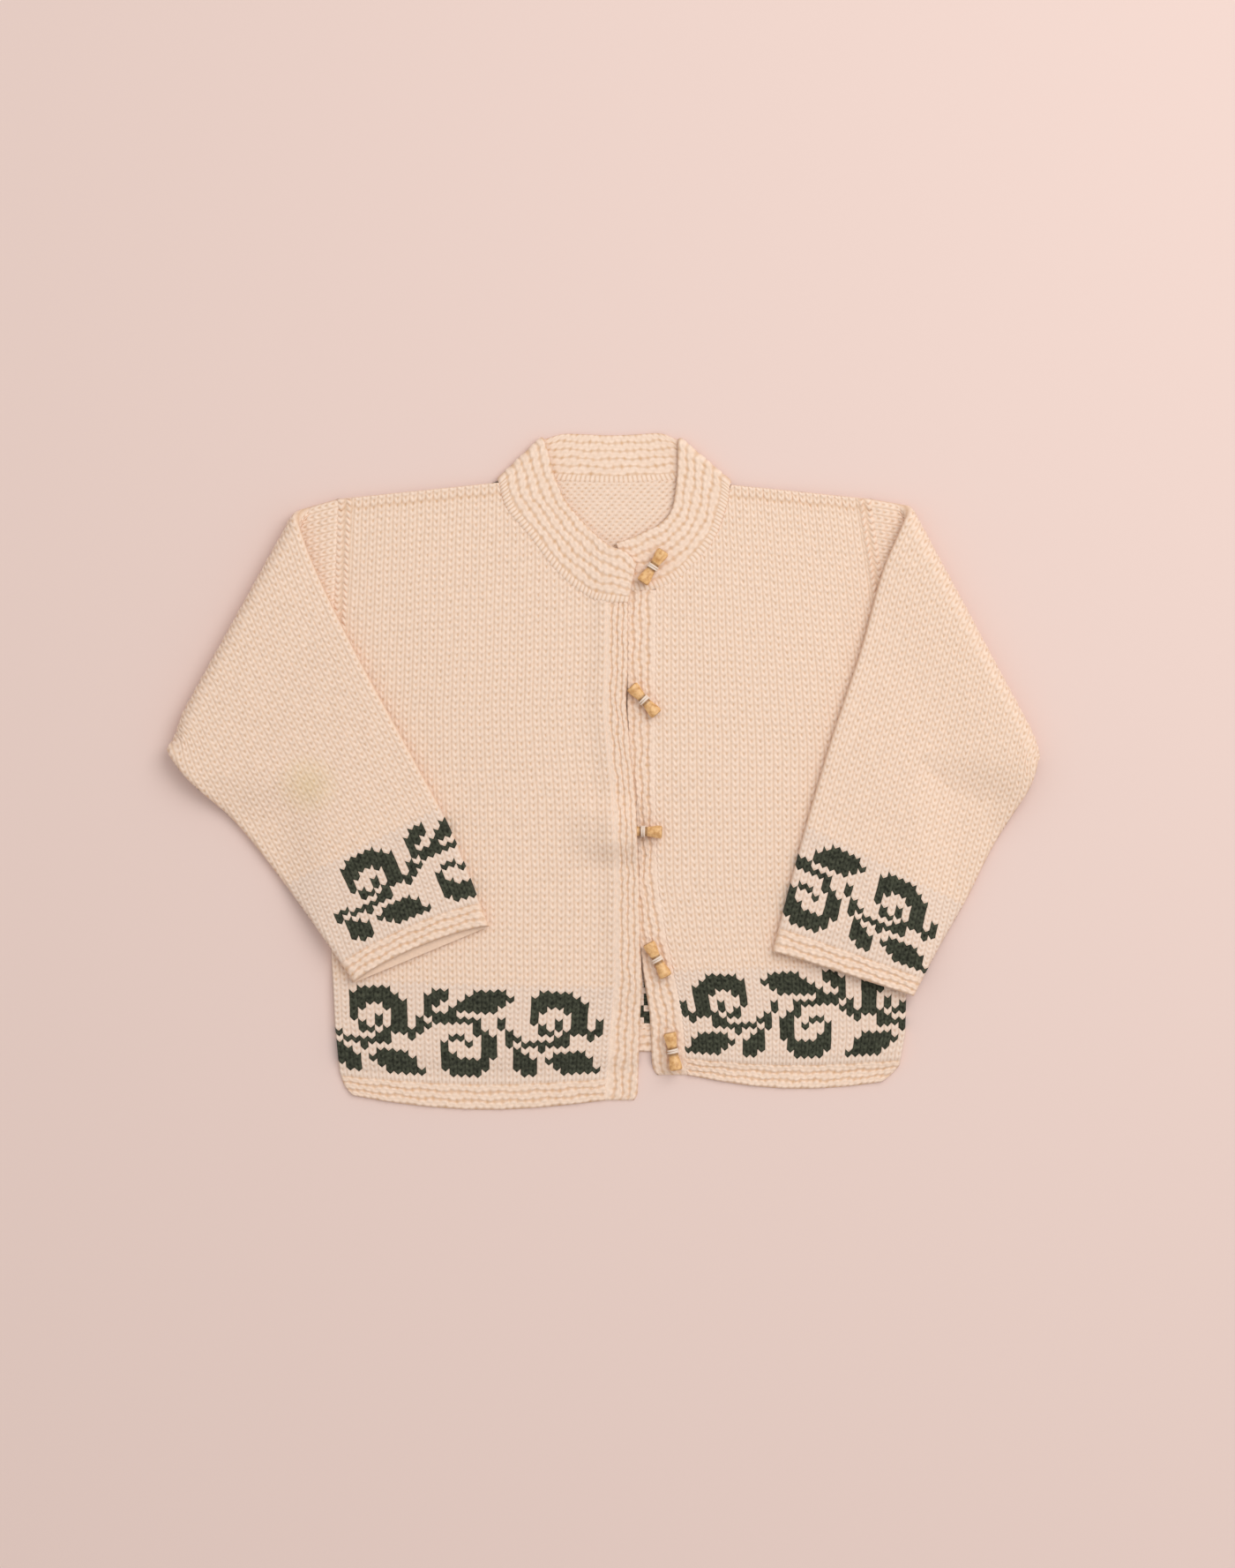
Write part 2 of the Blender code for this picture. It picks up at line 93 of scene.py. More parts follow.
# Outlines from the hem upwards, in mm
LEFT_SIDE = {
    "y": (-192.0, -178.3, -150.0, -110.0, -1.0, 161.1),
    "x": (-156.0, -160.8, -163.6, -165.6, -167.6, -160.8),
}
RIGHT_SIDE = {
    "y": (-184.0, -174.0, -155.9, -120.0, 12.0, 161.1),
    "x": (163.5, 171.0, 174.4, 175.4, 176.5, 153.0),
}
LEFT_FREE_EDGE = {
    "y": (-195.0, -188.3, -146.4, -125.0, -104.1, -65.9, -13.6, 12.6, 38.7, 59.6, 98.8),
    "x": (15.6, 16.0, 17.3, 18.4, 17.6, 16.7, 14.4, 11.4, 9.0, 9.9, 10.2),
}
RIGHT_FREE_EDGE = {
    "y": (-180.0, -172.6, -160.0, -142.8, -118.2, -97.3, -65.9, -13.6, 38.7, 106.3),
    "x": (25.4, 24.3, 23.8, 22.8, 18.6, 15.4, 12.3, 10.0, 9.0, 8.5),
}
SHOULDER_LINE = {"x": (-160.8, -66.2, 70.3, 153.0), "y": (161.1, 170.4, 169.1, 161.1)}
LEFT_BAND_WIDTH = {"y": (-195.0, -146.4, -65.9, 38.7, 98.8), "x": (19.0, 16.5, 13.5, 12.6, 12.6)}
RIGHT_BAND_WIDTH = {"y": (-180.0, -118.2, -65.9, 106.3), "x": (20.0, 18.0, 15.0, 17.9)}

# Broad swells of the laid fronts, in mm
SWELLS = {
    "x": (-110.0, -60.0, -120.0, 70.0, 110.0, 60.0, 120.0),
    "y": (-90.0, 40.0, 120.0, 60.0, -60.0, -130.0, 140.0),
    "reach": (60.0, 50.0, 45.0, 55.0, 60.0, 40.0, 40.0),
    "height": (0.9, 0.8, 0.7, 0.9, 0.8, 0.7, 0.6),
}

# Collar: its neckline edge (base) and free edge (top), in mm
LEFT_COLLAR = {
    "base_x": (10.2, -2.4, -12.8, -31.1, -48.9, -61.0, -65.2, -66.2),
    "base_y": (99.3, 99.5, 102.2, 116.1, 139.1, 153.0, 164.0, 170.9),
    "top_x": (15.4, 8.5, -1.0, -14.0, -26.5, -33.2, -36.6, -39.5),
    "top_y": (122.4, 130.0, 133.5, 145.0, 159.5, 174.5, 187.0, 196.3),
}
BACK_COLLAR = {
    "base_x": (-66.2, -48.0, -25.0, 2.0, 28.0, 52.0, 70.3),
    "base_y": (170.9, 172.4, 171.2, 170.2, 171.2, 172.4, 169.6),
    "top_x": (-39.5, -28.5, -15.0, 0.5, 16.0, 29.5, 39.5),
    "top_y": (196.3, 199.6, 199.4, 198.8, 199.4, 200.0, 195.9),
}
RIGHT_COLLAR = {
    "base_x": (70.3, 69.9, 67.6, 61.6, 49.4, 39.0, 26.4, 8.5),
    "base_y": (169.6, 162.0, 152.6, 137.0, 122.4, 112.9, 107.6, 106.4),
    "top_x": (39.5, 39.4, 38.9, 36.0, 29.0, 20.5, 12.3, 2.9),
    "top_y": (195.9, 184.6, 172.0, 155.0, 146.3, 142.0, 138.1, 134.9),
}
COLLAR_LOW = 2.6  # height of its lower layer, behind the neck
COLLAR_TURN = 0.5  # radius of its folds at the shoulders
COLLAR_RIDGES = 5
FOOT_SHARE = 0.17  # of the collar's height, taken by its picked-up row

# Sleeves: edges of each one opened out flat, from the armhole to the cuff, in mm
LEFT_SLEEVE = {
    "top_x": (-160.8, -215.0, -278.3, -346.1, -395.5, -455.0),
    "top_y": (161.1, 147.0, 139.7, 135.6, 131.9, 121.0),
    "under_x": (-167.6, -240.0, -288.2, -328.7, -389.7, -441.0),
    "under_y": (-1.0, 8.0, 16.3, 26.8, 33.0, 36.0),
}
RIGHT_SLEEVE = {
    "top_x": (153.0, 196.4, 221.1, 265.9, 320.6, 377.8, 441.0),
    "top_y": (161.1, 153.5, 148.4, 133.6, 118.5, 100.6, 79.0),
    "under_x": (176.5, 225.0, 260.9, 315.0, 352.7, 385.0, 417.0),
    "under_y": (12.0, 8.0, 6.2, 4.5, 0.0, -2.0, -5.0),
}
LEFT_CREASE = {"x": (-186.6, -254.5), "y": (137.0, 14.6)}
RIGHT_CREASE = {"x": (189.2, 250.6), "y": (117.2, 2.6)}
SLEEVE_LOW = 2.4
SLEEVE_AIR = 0.85  # half the gap inside a flat sleeve
SLEEVE_TURN = 5.0  # radius of the fold
SLEEVE_REST = 6.8  # rise of the turned-over part, lying on the front
SLEEVE_SETTLE = 42.0  # length over which it comes down to the front
SLEEVE_DROOP = 32.0  # length over which it comes down to the table past the front
SLEEVE_ROWS = 76
SLEEVE_WIDEST = 148.0
SLEEVE_BORDER_ROW = 3.15
ELBOW_REACH = 24.0  # the elbow is rounded off this far from its corner
ELBOW_BLUNT = 5.0

# Stitches, in mm where they are lengths
PITCH = 4.6
FINE = 6  # columns of the grid to a stitch
GARTER_ROW = 2.1
BORDER_ROW = 3.3
PLAIN_ROW = 3.72
HEM_RIDGES = 3
GARTER = 2 * HEM_RIDGES  # rows of garter stitch at a hem or cuff
BAND_RIDGES = 4
BORDER_ROWS = 18
LIFT = 0.62  # of a row: how far a stitch's two legs rise from its foot to its sides
BACK_HEM_SHOWS = 26  # rows with full relief: up to this one,
BACK_NECK_SHOWS = 64  # and from this one
SLEEVE_OUTER_SHOWS = 46
SLEEVE_INNER_SHOWS = 72
HEM_CORNER = 8.0  # the fronts' outer corners are rounded off from this height
HEM_CORNER_CUT = 3.2
BAND_CORNER = 5.0
BAND_CORNER_CUT = 2.2
BUMP_WIDTH = 0.85  # of a stitch: width of the purl bumps along the armhole

# One repeat of the border, from its top row down. "#" is the pattern yarn.
VINE = (
    "...##...####....####..",
    "..###..######..######.",
    "..##..######...#######",
    "..#..######....##..###",
    "..####.........#....##",
    ".#.######..#...#..#.##",
    ".##.....#..#....#.#.##",
    "##......##..#...##.###",
    "#....##..##.##....##..",
    "....#..#.##.#.######..",
    "....#....##..#..#.....",
    "....##...##..##...####",
    "#...######...###.#####",
    "#...######...###..####",
    "##...####.....##...###",
)
VINE_UP = 1  # plain rows between the garter edge and the pattern

# The stage, in m, with the lens and sensor in mm
TABLE_REACH = 6.0
TABLE_LEVEL = -0.00005
LENS = 85
SENSOR = 36
FRAME_HEIGHT = 0.929  # length of table that the camera takes in
CAMERA_OVER = (0.0074, -0.0073)
LAMP_PLACE = (0.8, 0.75, 1.6)
LAMP_TILT = math.radians(25)
LAMP_SIZE = 1.4
LAMP_POWER = 18.5  # W
SKY_COLOUR = (1, 0.985, 0.97, 1)
SKY_STRENGTH = 0.65

CREAM, WHITE, GREEN = 0, 1, 2  # the yarns, as material numbers
STAIN_PLACE = (-0.1747, -0.0078, 0.012)  # m, on the left sleeve

# Stitches and rows of each front, the sag of its hem, and the heights of its garter and border
# rows at the side and at the band, in mm
LEFT_CUT = {"stitches": 34, "rows": 96, "sag": 7.0, "side": (1.9, 3.15), "band": (1.9, 2.75)}
RIGHT_CUT = {"stitches": 30, "rows": 93, "sag": 6.0, "side": (2.1, 3.2), "band": (1.5, 2.65)}


def surface(x, y, z):
    return np.stack([x, y, z], -1)


def smoothstep(start, end, value):
    """0 before start, 1 past end, an easy S between. end may be below start."""
    share = np.clip((value - start) / (end - start), 0.0, 1.0)
    return share * share * (3 - 2 * share)


def blend(first, second, share):
    return first + (second - first) * share


def x_at(table, y):
    return np.interp(y, table["y"], table["x"])


def curve_through(table, name, at):
    """A table's column as a smooth curve, read at row numbers that need not be whole."""
    rows = np.array(table[name])
    slope = np.gradient(rows)
    at = np.clip(at, 0, len(rows) - 1)
    low = np.minimum(at.astype(int), len(rows) - 2)
    u = at - low
    return (
        (1 + 2 * u) * (1 - u) ** 2 * rows[low]
        + u * (1 - u) ** 2 * slope[low]
        + u * u * (3 - 2 * u) * rows[low + 1]
        + u * u * (u - 1) * slope[low + 1]
    )


def arc_length(points):
    """Length of a line of points, up to each of them."""
    return np.concatenate([[0], np.cumsum(np.linalg.norm(np.diff(points, axis=0), axis=1))])


def even_curve(table, names, count=400):
    """Points along a table's curve, and the share of its length at each."""
    at = np.linspace(0, len(table[names[0]]) - 1, count)
    points = np.stack([curve_through(table, name, at) for name in names], 1)
    along = arc_length(points)
    return points, along / along[-1]


def read_curve(points, along, share):
    return np.stack([np.interp(share, along, points[:, k]) for k in range(points.shape[1])], -1)


def row_levels(rows, garter_row, border_row):
    """Share of the height at each row line, and the height itself."""
    pitch = np.full(rows, PLAIN_ROW)
    pitch[:GARTER] = garter_row
    pitch[GARTER : GARTER + BORDER_ROWS] = border_row
    level = np.concatenate([[0.0], np.cumsum(pitch)])
    return level / level[-1], level[-1]


def row_lines(*stretches):
    """Row numbers of a grid's lines, from stretches of (start, end, step)."""
    return np.concatenate([np.arange(*stretch) for stretch in stretches])


def chance(column, row):
    """A fixed number from -1 to 1 for each stitch, different from its neighbours'."""
    return 2 * np.mod(np.sin(column * 12.9898 + row * 78.233) * 43758.5453, 1.0) - 1


def unevenness(u, v):
    """Slow changes in the tension of hand knitting, from -1 to 1."""
    slow = np.sin(0.9 * u + 1.7 * np.sin(0.37 * v)) * np.sin(0.61 * v + 1.3 * np.sin(0.53 * u))
    return 0.6 * slow + 0.4 * chance(np.floor(u), np.floor(v))


def stocking(u, v):
    """Relief of stocking stitch, 0 to 1: two plump legs to a stitch, parted by grooves."""
    leg = np.abs(np.sin(tau * u)) ** 0.7
    along = np.sin(pi * (v % 1.0)) ** 0.6
    tall = 0.88 + 0.12 * chance(np.floor(u), np.floor(v))
    return tall * (0.35 + 0.65 * leg) * (0.35 + 0.65 * along)


def bell(distance, width):
    """1 at no distance, falling away smoothly on both sides."""
    return np.exp(-((distance / width) ** 2))


def stocking_shade(u, v):
    """Painted shade: 1 on the legs, down to 0 in the eye of each stitch, where its two legs meet.
    """
    deep = 0.85 + 0.15 * chance(np.floor(u) + 3, np.floor(v))
    eye = bell((u % 1.0) - 0.5, 0.15) * (0.5 - 0.5 * np.cos(tau * (v + 0.35))) ** 2
    between = bell(((u + 0.5) % 1.0) - 0.5, 0.12) * 0.45
    under_next = bell(((v + 0.5) % 1.0) - 0.5, 0.2) * 0.1
    return 1 - deep * eye - between - under_next


def ridge_number(u, v):
    """Garter ridges counted up from the cast-on edge, with the wander of hand knitting."""
    ridges = v / 2 + 0.09 * np.sin(1.3 * u + 0.9 * v) + 0.05 * np.sin(2.9 * u - 1.1 * v)
    return np.where(v <= 0, 0, ridges)


def garter_relief(u, v):
    """Relief of garter stitch, 0 to 1: each ridge is a line of arcs up and a line of arcs down.

    The two lines stand half a stitch apart, and so do neighbouring ridges.
    """
    ridges = ridge_number(u, v)
    y = ridges % 1.0
    turn = pi * (u + 0.5 * np.floor(ridges))
    up, down = np.abs(np.cos(turn)), np.abs(np.sin(turn))
    tall = 0.84 + 0.16 * chance(np.floor(u + 0.5), np.floor(ridges))
    first = np.sqrt(np.maximum(1 - ((y - 0.55 - 0.17 * up) / 0.22) ** 2, 0))
    second = np.sqrt(np.maximum(1 - ((y - 0.45 + 0.17 * down) / 0.22) ** 2, 0))
    return tall * np.maximum(first * (0.55 + 0.45 * up), second * (0.55 + 0.45 * down))


def garter_shade(u, v):
    """Painted shade: 1 on the ridges, a little less between them, and 0 in the holes between two
    bumps.
    """
    ridges = ridge_number(u, v)
    y = (ridges + 0.5) % 1.0 - 0.5
    number = np.floor(ridges + 0.5)
    hole = (0.5 + 0.5 * np.cos(tau * (u + 0.5 * number))) ** 2
    deep = 0.66 + 0.34 * chance(np.floor(u + 0.5) + 9, number)
    groove = bell(y, 0.1 + 0.1 * hole)
    return (0.62 + 0.38 * garter_relief(u, v)) * (1 - groove * (0.1 + 0.8 * deep * hole))


def edged(v, hem, body):
    """The hem's values in the garter rows, and the body's above them."""
    return np.where(v < GARTER, hem, body)


def purl_relief(u, v):
    """Relief of the purl side, 0 to 1: staggered bumps, two lines to a row."""
    line = np.floor(2 * v)
    bump = np.abs(np.cos(pi * (u + 0.5 * line)))
    return np.sin(pi * (2 * v % 1.0)) ** 0.8 * bump


def purl_shade(u, v):
    """Painted shade: 1 on the purl bumps, down to 0.15 in the small holes between them."""
    line = np.floor(2 * v + 0.5)
    across = 0.5 + 0.5 * np.cos(tau * (u + 0.5 * line))
    up = 0.5 + 0.5 * np.cos(4 * pi * v)
    deep = 0.8 + 0.2 * chance(np.floor(u + 0.5), line)
    return 0.96 - 0.85 * deep * across**1.5 * up


def lift_of(u, v, first, last):
    """Share of a row that a point of the grid is raised, so that each row is a chain of Vs."""
    fade = np.clip(v - first, 0, 1) * np.clip(last - v, 0, 1)
    return LIFT * np.abs(2 * (u % 1.0) - 1) * fade


def chart_row(row):
    """Row of the chart, from its lowest, for a row counted from the cast-on edge."""
    return row - GARTER - VINE_UP


def vine_yarn(column, row):
    """The yarn of each stitch: column counts across one repeat, row from the cast-on edge."""
    step = chart_row(row)
    height = len(VINE)
    chart = np.array([[mark == "#" for mark in line] for line in VINE])
    inside = (step >= 0) & (step < height)
    line = np.clip(height - 1 - step, 0, height - 1).astype(int)
    green = chart[line, np.mod(column, chart.shape[1]).astype(int)] & inside
    zone = (step >= -1) & (step <= height)
    return np.where(green, GREEN, np.where(zone, WHITE, CREAM))


def cell_numbers(u, v):
    """Stitch and row number of each face of a grid."""
    stitch = np.floor((u[:-1, :-1] + u[:-1, 1:]) / 2)
    row = np.floor((v[:-1, :-1] + v[1:, :-1]) / 2)
    return stitch, row


def cells(index):
    """Two triangles to each cell of a grid of point numbers."""
    a, b = index[:-1, :-1].ravel(), index[:-1, 1:].ravel()
    c, d = index[1:, 1:].ravel(), index[1:, :-1].ravel()
    return np.concatenate([np.stack([a, b, c], 1), np.stack([a, c, d], 1)])


class Cloth:
    """Grids of points gathered into one triangle mesh, their touching edges welded."""

    def __init__(self):
        self.points, self.hollow, self.triangles, self.yarns = [], [], [], []
        self.count = 0

    def numbers(self, points, hollow):
        """Takes in a grid of points (rows, columns, 3) and returns the grid of their numbers."""
        rows, columns = points.shape[:2]
        index = np.arange(rows * columns).reshape(rows, columns) + self.count
        self.points.append(points.reshape(-1, 3))
        self.hollow.append(np.broadcast_to(hollow, (rows, columns)).ravel())
        self.count += rows * columns
        return index

    def add(self, points, hollow=0.6, yarn=0, flip=False):
        """A grid of points, one yarn to a face. hollow is the painted shade: 0 in the grooves and 1
        on top.
        """
        index = self.numbers(points, hollow)
        corners = cells(index)
        self.triangles.append(corners[:, ::-1] if flip else corners)
        yarn = np.broadcast_to(yarn, (index.shape[0] - 1, index.shape[1] - 1))
        self.yarns.append(np.tile(yarn.ravel(), 2))

    def line(self, points, step, flip=False):
        """The plain side of a grid: every row but few columns, with both end rows kept whole."""
        index = self.numbers(points, 0.6)
        columns = index.shape[1]
        kept = np.concatenate([[0, 1, columns - 2, columns - 1], np.arange(0, columns, step)])
        kept = np.unique(kept)
        faces = [cells(index[1:-1][:, kept])]
        for end, near, turn in ((0, 1, 1), (-1, -2, -1)):
            start = kept[np.searchsorted(kept, np.arange(columns - 1), side="right") - 1]
            fan = np.stack([index[near][start], index[end][:-1], index[end][1:]], 1)
            a, b = kept[:-1], kept[1:]
            last = np.stack([index[near][a], index[end][b], index[near][b]], 1)
            faces += [fan[:, ::turn], last[:, ::turn]]
        faces = np.concatenate(faces)
        self.triangles.append(faces[:, ::-1] if flip else faces)
        self.yarns.append(np.zeros(len(faces), int))

    def object(self, name, materials):
        points = np.concatenate(self.points)
        # What touches the table is pressed flat on it
        points[:, 2] = np.maximum(points[:, 2], UNDERSIDE)
        hollow = np.concatenate(self.hollow)
        triangles = np.concatenate(self.triangles)
        yarns = np.concatenate(self.yarns)
        keys = np.round(points / 0.004).astype(np.int64)
        _, first, where = np.unique(keys, axis=0, return_index=True, return_inverse=True)
        points, hollow = points[first], hollow[first]
        triangles = where.reshape(-1)[triangles]
        a, b, c = triangles.T
        whole = (a != b) & (b != c) & (a != c)
        triangles, yarns = triangles[whole], yarns[whole]
        used, triangles = np.unique(triangles, return_inverse=True)
        points, hollow = points[used], hollow[used]
        triangles = triangles.reshape(-1, 3)
        return make_mesh(name, points, triangles, hollow, yarns, materials)


def make_mesh(name, points, triangles, hollow, yarns, materials):
    """An object of these triangles, in the frame's place, with smooth shading."""
    mesh = bpy.data.meshes.new(name)
    mesh.vertices.add(len(points))
    mesh.vertices.foreach_set("co", ((points - MIDDLE) * 0.001).astype(np.float32).ravel())
    mesh.loops.add(len(triangles) * 3)
    mesh.loops.foreach_set("vertex_index", triangles.astype(np.int32).ravel())
    mesh.polygons.add(len(triangles))
    mesh.polygons.foreach_set("loop_start", np.arange(0, len(triangles) * 3, 3, dtype=np.int32))
    mesh.polygons.foreach_set("material_index", yarns.astype(np.int32))
    mesh.update(calc_edges=True)
    mesh.validate()
    layer = mesh.attributes.new("hollow", "FLOAT", "POINT")
    layer.data.foreach_set("value", hollow.astype(np.float32))
    mesh.shade_smooth()
    mesh.set_sharp_from_angle(angle=math.radians(80))
    for material in materials:
        mesh.materials.append(material)
    return place_object(name, mesh)


def place_object(name, data):
    obj = bpy.data.objects.new(name, data)
    bpy.context.scene.collection.objects.link(obj)
    return obj


def undulation(x, y):
    """Slight unevenness of the laid cloth, in mm: a few broad swells."""
    height = 0.25 * np.sin(x / 17.0 + 0.6 * np.sin(y / 31.0)) * np.sin(y / 23.0)
    for at_x, at_y, size, tall in zip(*SWELLS.values()):
        height = height + tall * np.exp(-(((x - at_x) ** 2 + (y - at_y) ** 2) / size**2))
    return height


def on_back(y):
    start = BACK_HEM - 2.5
    return smoothstep(start - HEM_DROP, start, y)


def right_lie(x, y):
    """Underside of the right front and its band."""
    return FRONT_LIE * on_back(y)


def left_lie(x, y):
    """Underside of the left front, which climbs onto the right band and over a toggle."""
    inside = x_at(LEFT_FREE_EDGE, y) - x
    climb = smoothstep(*CLIMB, inside) * smoothstep(*CLIMB_END, y)
    away = np.abs(y - BUMP_Y) / BUMP_LENGTH
    bump = smoothstep(1.35, 0.22, away) * smoothstep(*BUMP_REACH, inside)
    return FRONT_LIE * on_back(y) + (OVERLAP_LIE - FRONT_LIE) * climb + BUMP_HEIGHT * bump


def rounding(distance, radius=1.3):
    """1 inside a piece, falling to 0 along a quarter circle at its edge."""
    q = np.clip(distance / radius, 0.0, 1.0)
    return np.sqrt(np.maximum(1 - (1 - q) ** 2, 0.0))


def knit_front(name, side, free, width, collar, cut, lie, turn, column, sizes, materials):
    """A front: P(u, v) over stitches u from the side seam and rows v from the hem.

    x runs evenly from the side to the band's seam, y along the rows, which are lifted into Vs;
    z is the underside, plus a wall rounded at the edges, plus the stitches' relief.
    """
    hem = free["y"][0]
    neck, _ = even_curve(collar, ("base_x", "base_y"))
    order = np.argsort(neck[:, 0])
    stitches, rows, sag = cut["stitches"], cut["rows"], cut["sag"]
    side_level, _ = row_levels(rows, *cut["side"])
    band_level, _ = row_levels(rows, *cut["band"])
    grid_rows = row_lines((0, GARTER, 0.2), (GARTER, rows + 0.01, 0.25))
    u, v = np.meshgrid(np.arange(stitches * FINE + 1) / FINE, grid_rows)
    waver = 0.1 * np.sin(1.3 * u) * smoothstep(GARTER, GARTER + 3, v)
    waver = waver * smoothstep(rows, rows - 3, v)
    raised = v + lift_of(u, v, GARTER, rows) + waver
    lines = np.arange(rows + 1)
    s = u / stitches
    side_y = blend(side["y"][0], side["y"][-1], np.interp(raised, lines, side_level))
    shoulder_x = collar["base_x"][-1 if turn > 0 else 0]
    slope = (neck[:, 1].max() - side["y"][-1]) / abs(shoulder_x - side["x"][-1])
    seam_x = free["x"][-1] - turn * width["x"][-1]
    top = side["y"][-1] + slope * abs(seam_x - side["x"][-1])
    band_y = blend(hem, top, np.interp(raised, lines, band_level))
    seam = x_at(free, band_y) - turn * x_at(width, band_y)
    outer = x_at(side, side_y)
    inner_share = smoothstep(0, 1.5, u) * smoothstep(stitches, stitches - 1.5, u)
    arm = side_y > side["y"][-2]
    over = 1.3 * arm * np.clip(1 - u, 0, 1)
    above_hem = np.interp(v, lines, side_level) * (side["y"][-1] - side["y"][0])
    corner = np.maximum(0, HEM_CORNER - above_hem) / HEM_CORNER
    rounded = HEM_CORNER_CUT * corner**2 * np.maximum(1 - u / 6, 0) ** 2
    x = blend(outer, seam, s) + 0.28 * unevenness(u, v) * inner_share + turn * (rounded - over)
    y = blend(side_y, band_y, s) - sag * np.sin(pi * s) * (1 - v / rows) ** 8
    neck_y = np.interp(x, neck[order, 0], neck[order, 1]) + 1.5
    y = np.minimum(y, np.where((x - shoulder_x) * turn > 0, neck_y, 1e3))
    from_outer = np.abs(x - outer - turn * rounded)
    from_seam = np.abs(seam - x)
    from_end = np.minimum(v * GARTER_ROW, (rows - v) * PLAIN_ROW)
    from_edge = np.where(arm, from_outer + 3.0, from_outer)
    wall = rounding(np.minimum(from_edge, from_end)) * (0.92 + 0.08 * rounding(from_seam, 1.6))
    relief = edged(v, garter_relief(u, v), stocking(u, v))
    shade = edged(v, garter_shade(u, v), stocking_shade(u, v))
    # Two columns of purl bumps beside the armhole, with painted shade between them, and a groove at
    # the shoulder seam
    ridge = arm & (u < 2 * BUMP_WIDTH)
    column_of_bumps = np.abs(np.sin(pi * u / BUMP_WIDTH))
    bumps = np.abs(np.sin(pi * (v + 0.5 * np.floor(u / BUMP_WIDTH)))) ** 0.8 * column_of_bumps
    relief = np.where(ridge, 0.35 + 1.25 * bumps, relief)
    shade = np.where(ridge, 0.55 + 0.45 * bumps, shade)
    groove = bell(v - (rows - 2.0), 0.4)
    under = lie(x, y) + undulation(x, y) * rounding(from_outer, 30.0)
    z = under + wall * (WALL - 0.3 * groove + sizes.relief * 1000 * relief)
    z = np.where((u < 1e-6) & ~arm, 0.15, z)
    yarn = column(*cell_numbers(u, v))
    cloth = Cloth()
    # Painted shade: darker where the wall rounds down at the edges, and in the shoulder seam's
    # groove
    shade = shade * (0.8 + 0.2 * wall) - 0.2 * groove
    cloth.add(surface(x, y, z), shade, yarn, flip=turn < 0)
    low = np.where((s < 0.001) | (s > 0.999), z, under)
    cloth.line(surface(x, y, low), stitches, flip=turn > 0)
    return cloth.object(name, materials)


def knit_back(name, sizes, materials):
    """The back, its purl side up: stitches u across and rows v up from the hem.

    Only the rows that show, at the hem and in the neck, carry their full relief.
    """
    stitches, rows, per = 72, 90, 4
    level, _ = row_levels(rows, GARTER_ROW, BORDER_ROW)
    grid_rows = row_lines(
        (0, BACK_HEM_SHOWS, 0.25),
        (BACK_HEM_SHOWS, BACK_NECK_SHOWS, 1.0),
        (BACK_NECK_SHOWS, rows + 0.01, 0.25),
    )
    u, v = np.meshgrid(np.arange(stitches * per + 1) / per, grid_rows)
    s = u / stitches
    lifted = np.interp(v, np.arange(rows + 1), level)
    along = blend(LEFT_SIDE["x"][-1], RIGHT_SIDE["x"][-1], s)
    shoulder = np.interp(along, SHOULDER_LINE["x"], SHOULDER_LINE["y"])
    in_neck = smoothstep(-66.0, -58.0, along) * smoothstep(70.0, 62.0, along)
    top = shoulder + 3.6 * in_neck
    hem = BACK_HEM - 1.5 * np.sin(pi * s)
    y = blend(hem, top, lifted) + 0.5 * np.sin(0.7 * u + 0.3 * v) * np.sin(pi * lifted)
    held = np.minimum(y, LEFT_SIDE["y"][-1])
    x = blend(x_at(LEFT_SIDE, held) + SEAM_GAP, x_at(RIGHT_SIDE, held) - SEAM_GAP, s)
    relief = edged(v, garter_relief(u, v), purl_relief(u, v))
    relief = relief * ((v < BACK_HEM_SHOWS) | (v > BACK_NECK_SHOWS))
    shade = edged(v, garter_shade(u, v), purl_shade(u, v))
    size = 330.0
    wall = rounding(np.minimum(s, 1 - s) * size)
    wall = wall * rounding(lifted * size) * rounding((1 - lifted) * size)
    z = UNDERSIDE + wall * (1.6 + 0.8 * sizes.relief * 1000 * relief)
    # On this side the other yarn of the border shows, as floats
    stitch, row = cell_numbers(u, v)
    step = chart_row(row)
    inside = (step >= 0) & (step < len(VINE))
    floats = np.where((vine_yarn(stitch, row) == WHITE) & ((stitch + row) % 3 > 0), GREEN, WHITE)
    cloth = Cloth()
    cloth.add(surface(x, y, z), shade, np.where(inside, floats, CREAM))
    cloth.line(surface(x, y, np.full_like(x, UNDERSIDE)), stitches * per // 8, flip=True)
    return cloth.object(name, materials)


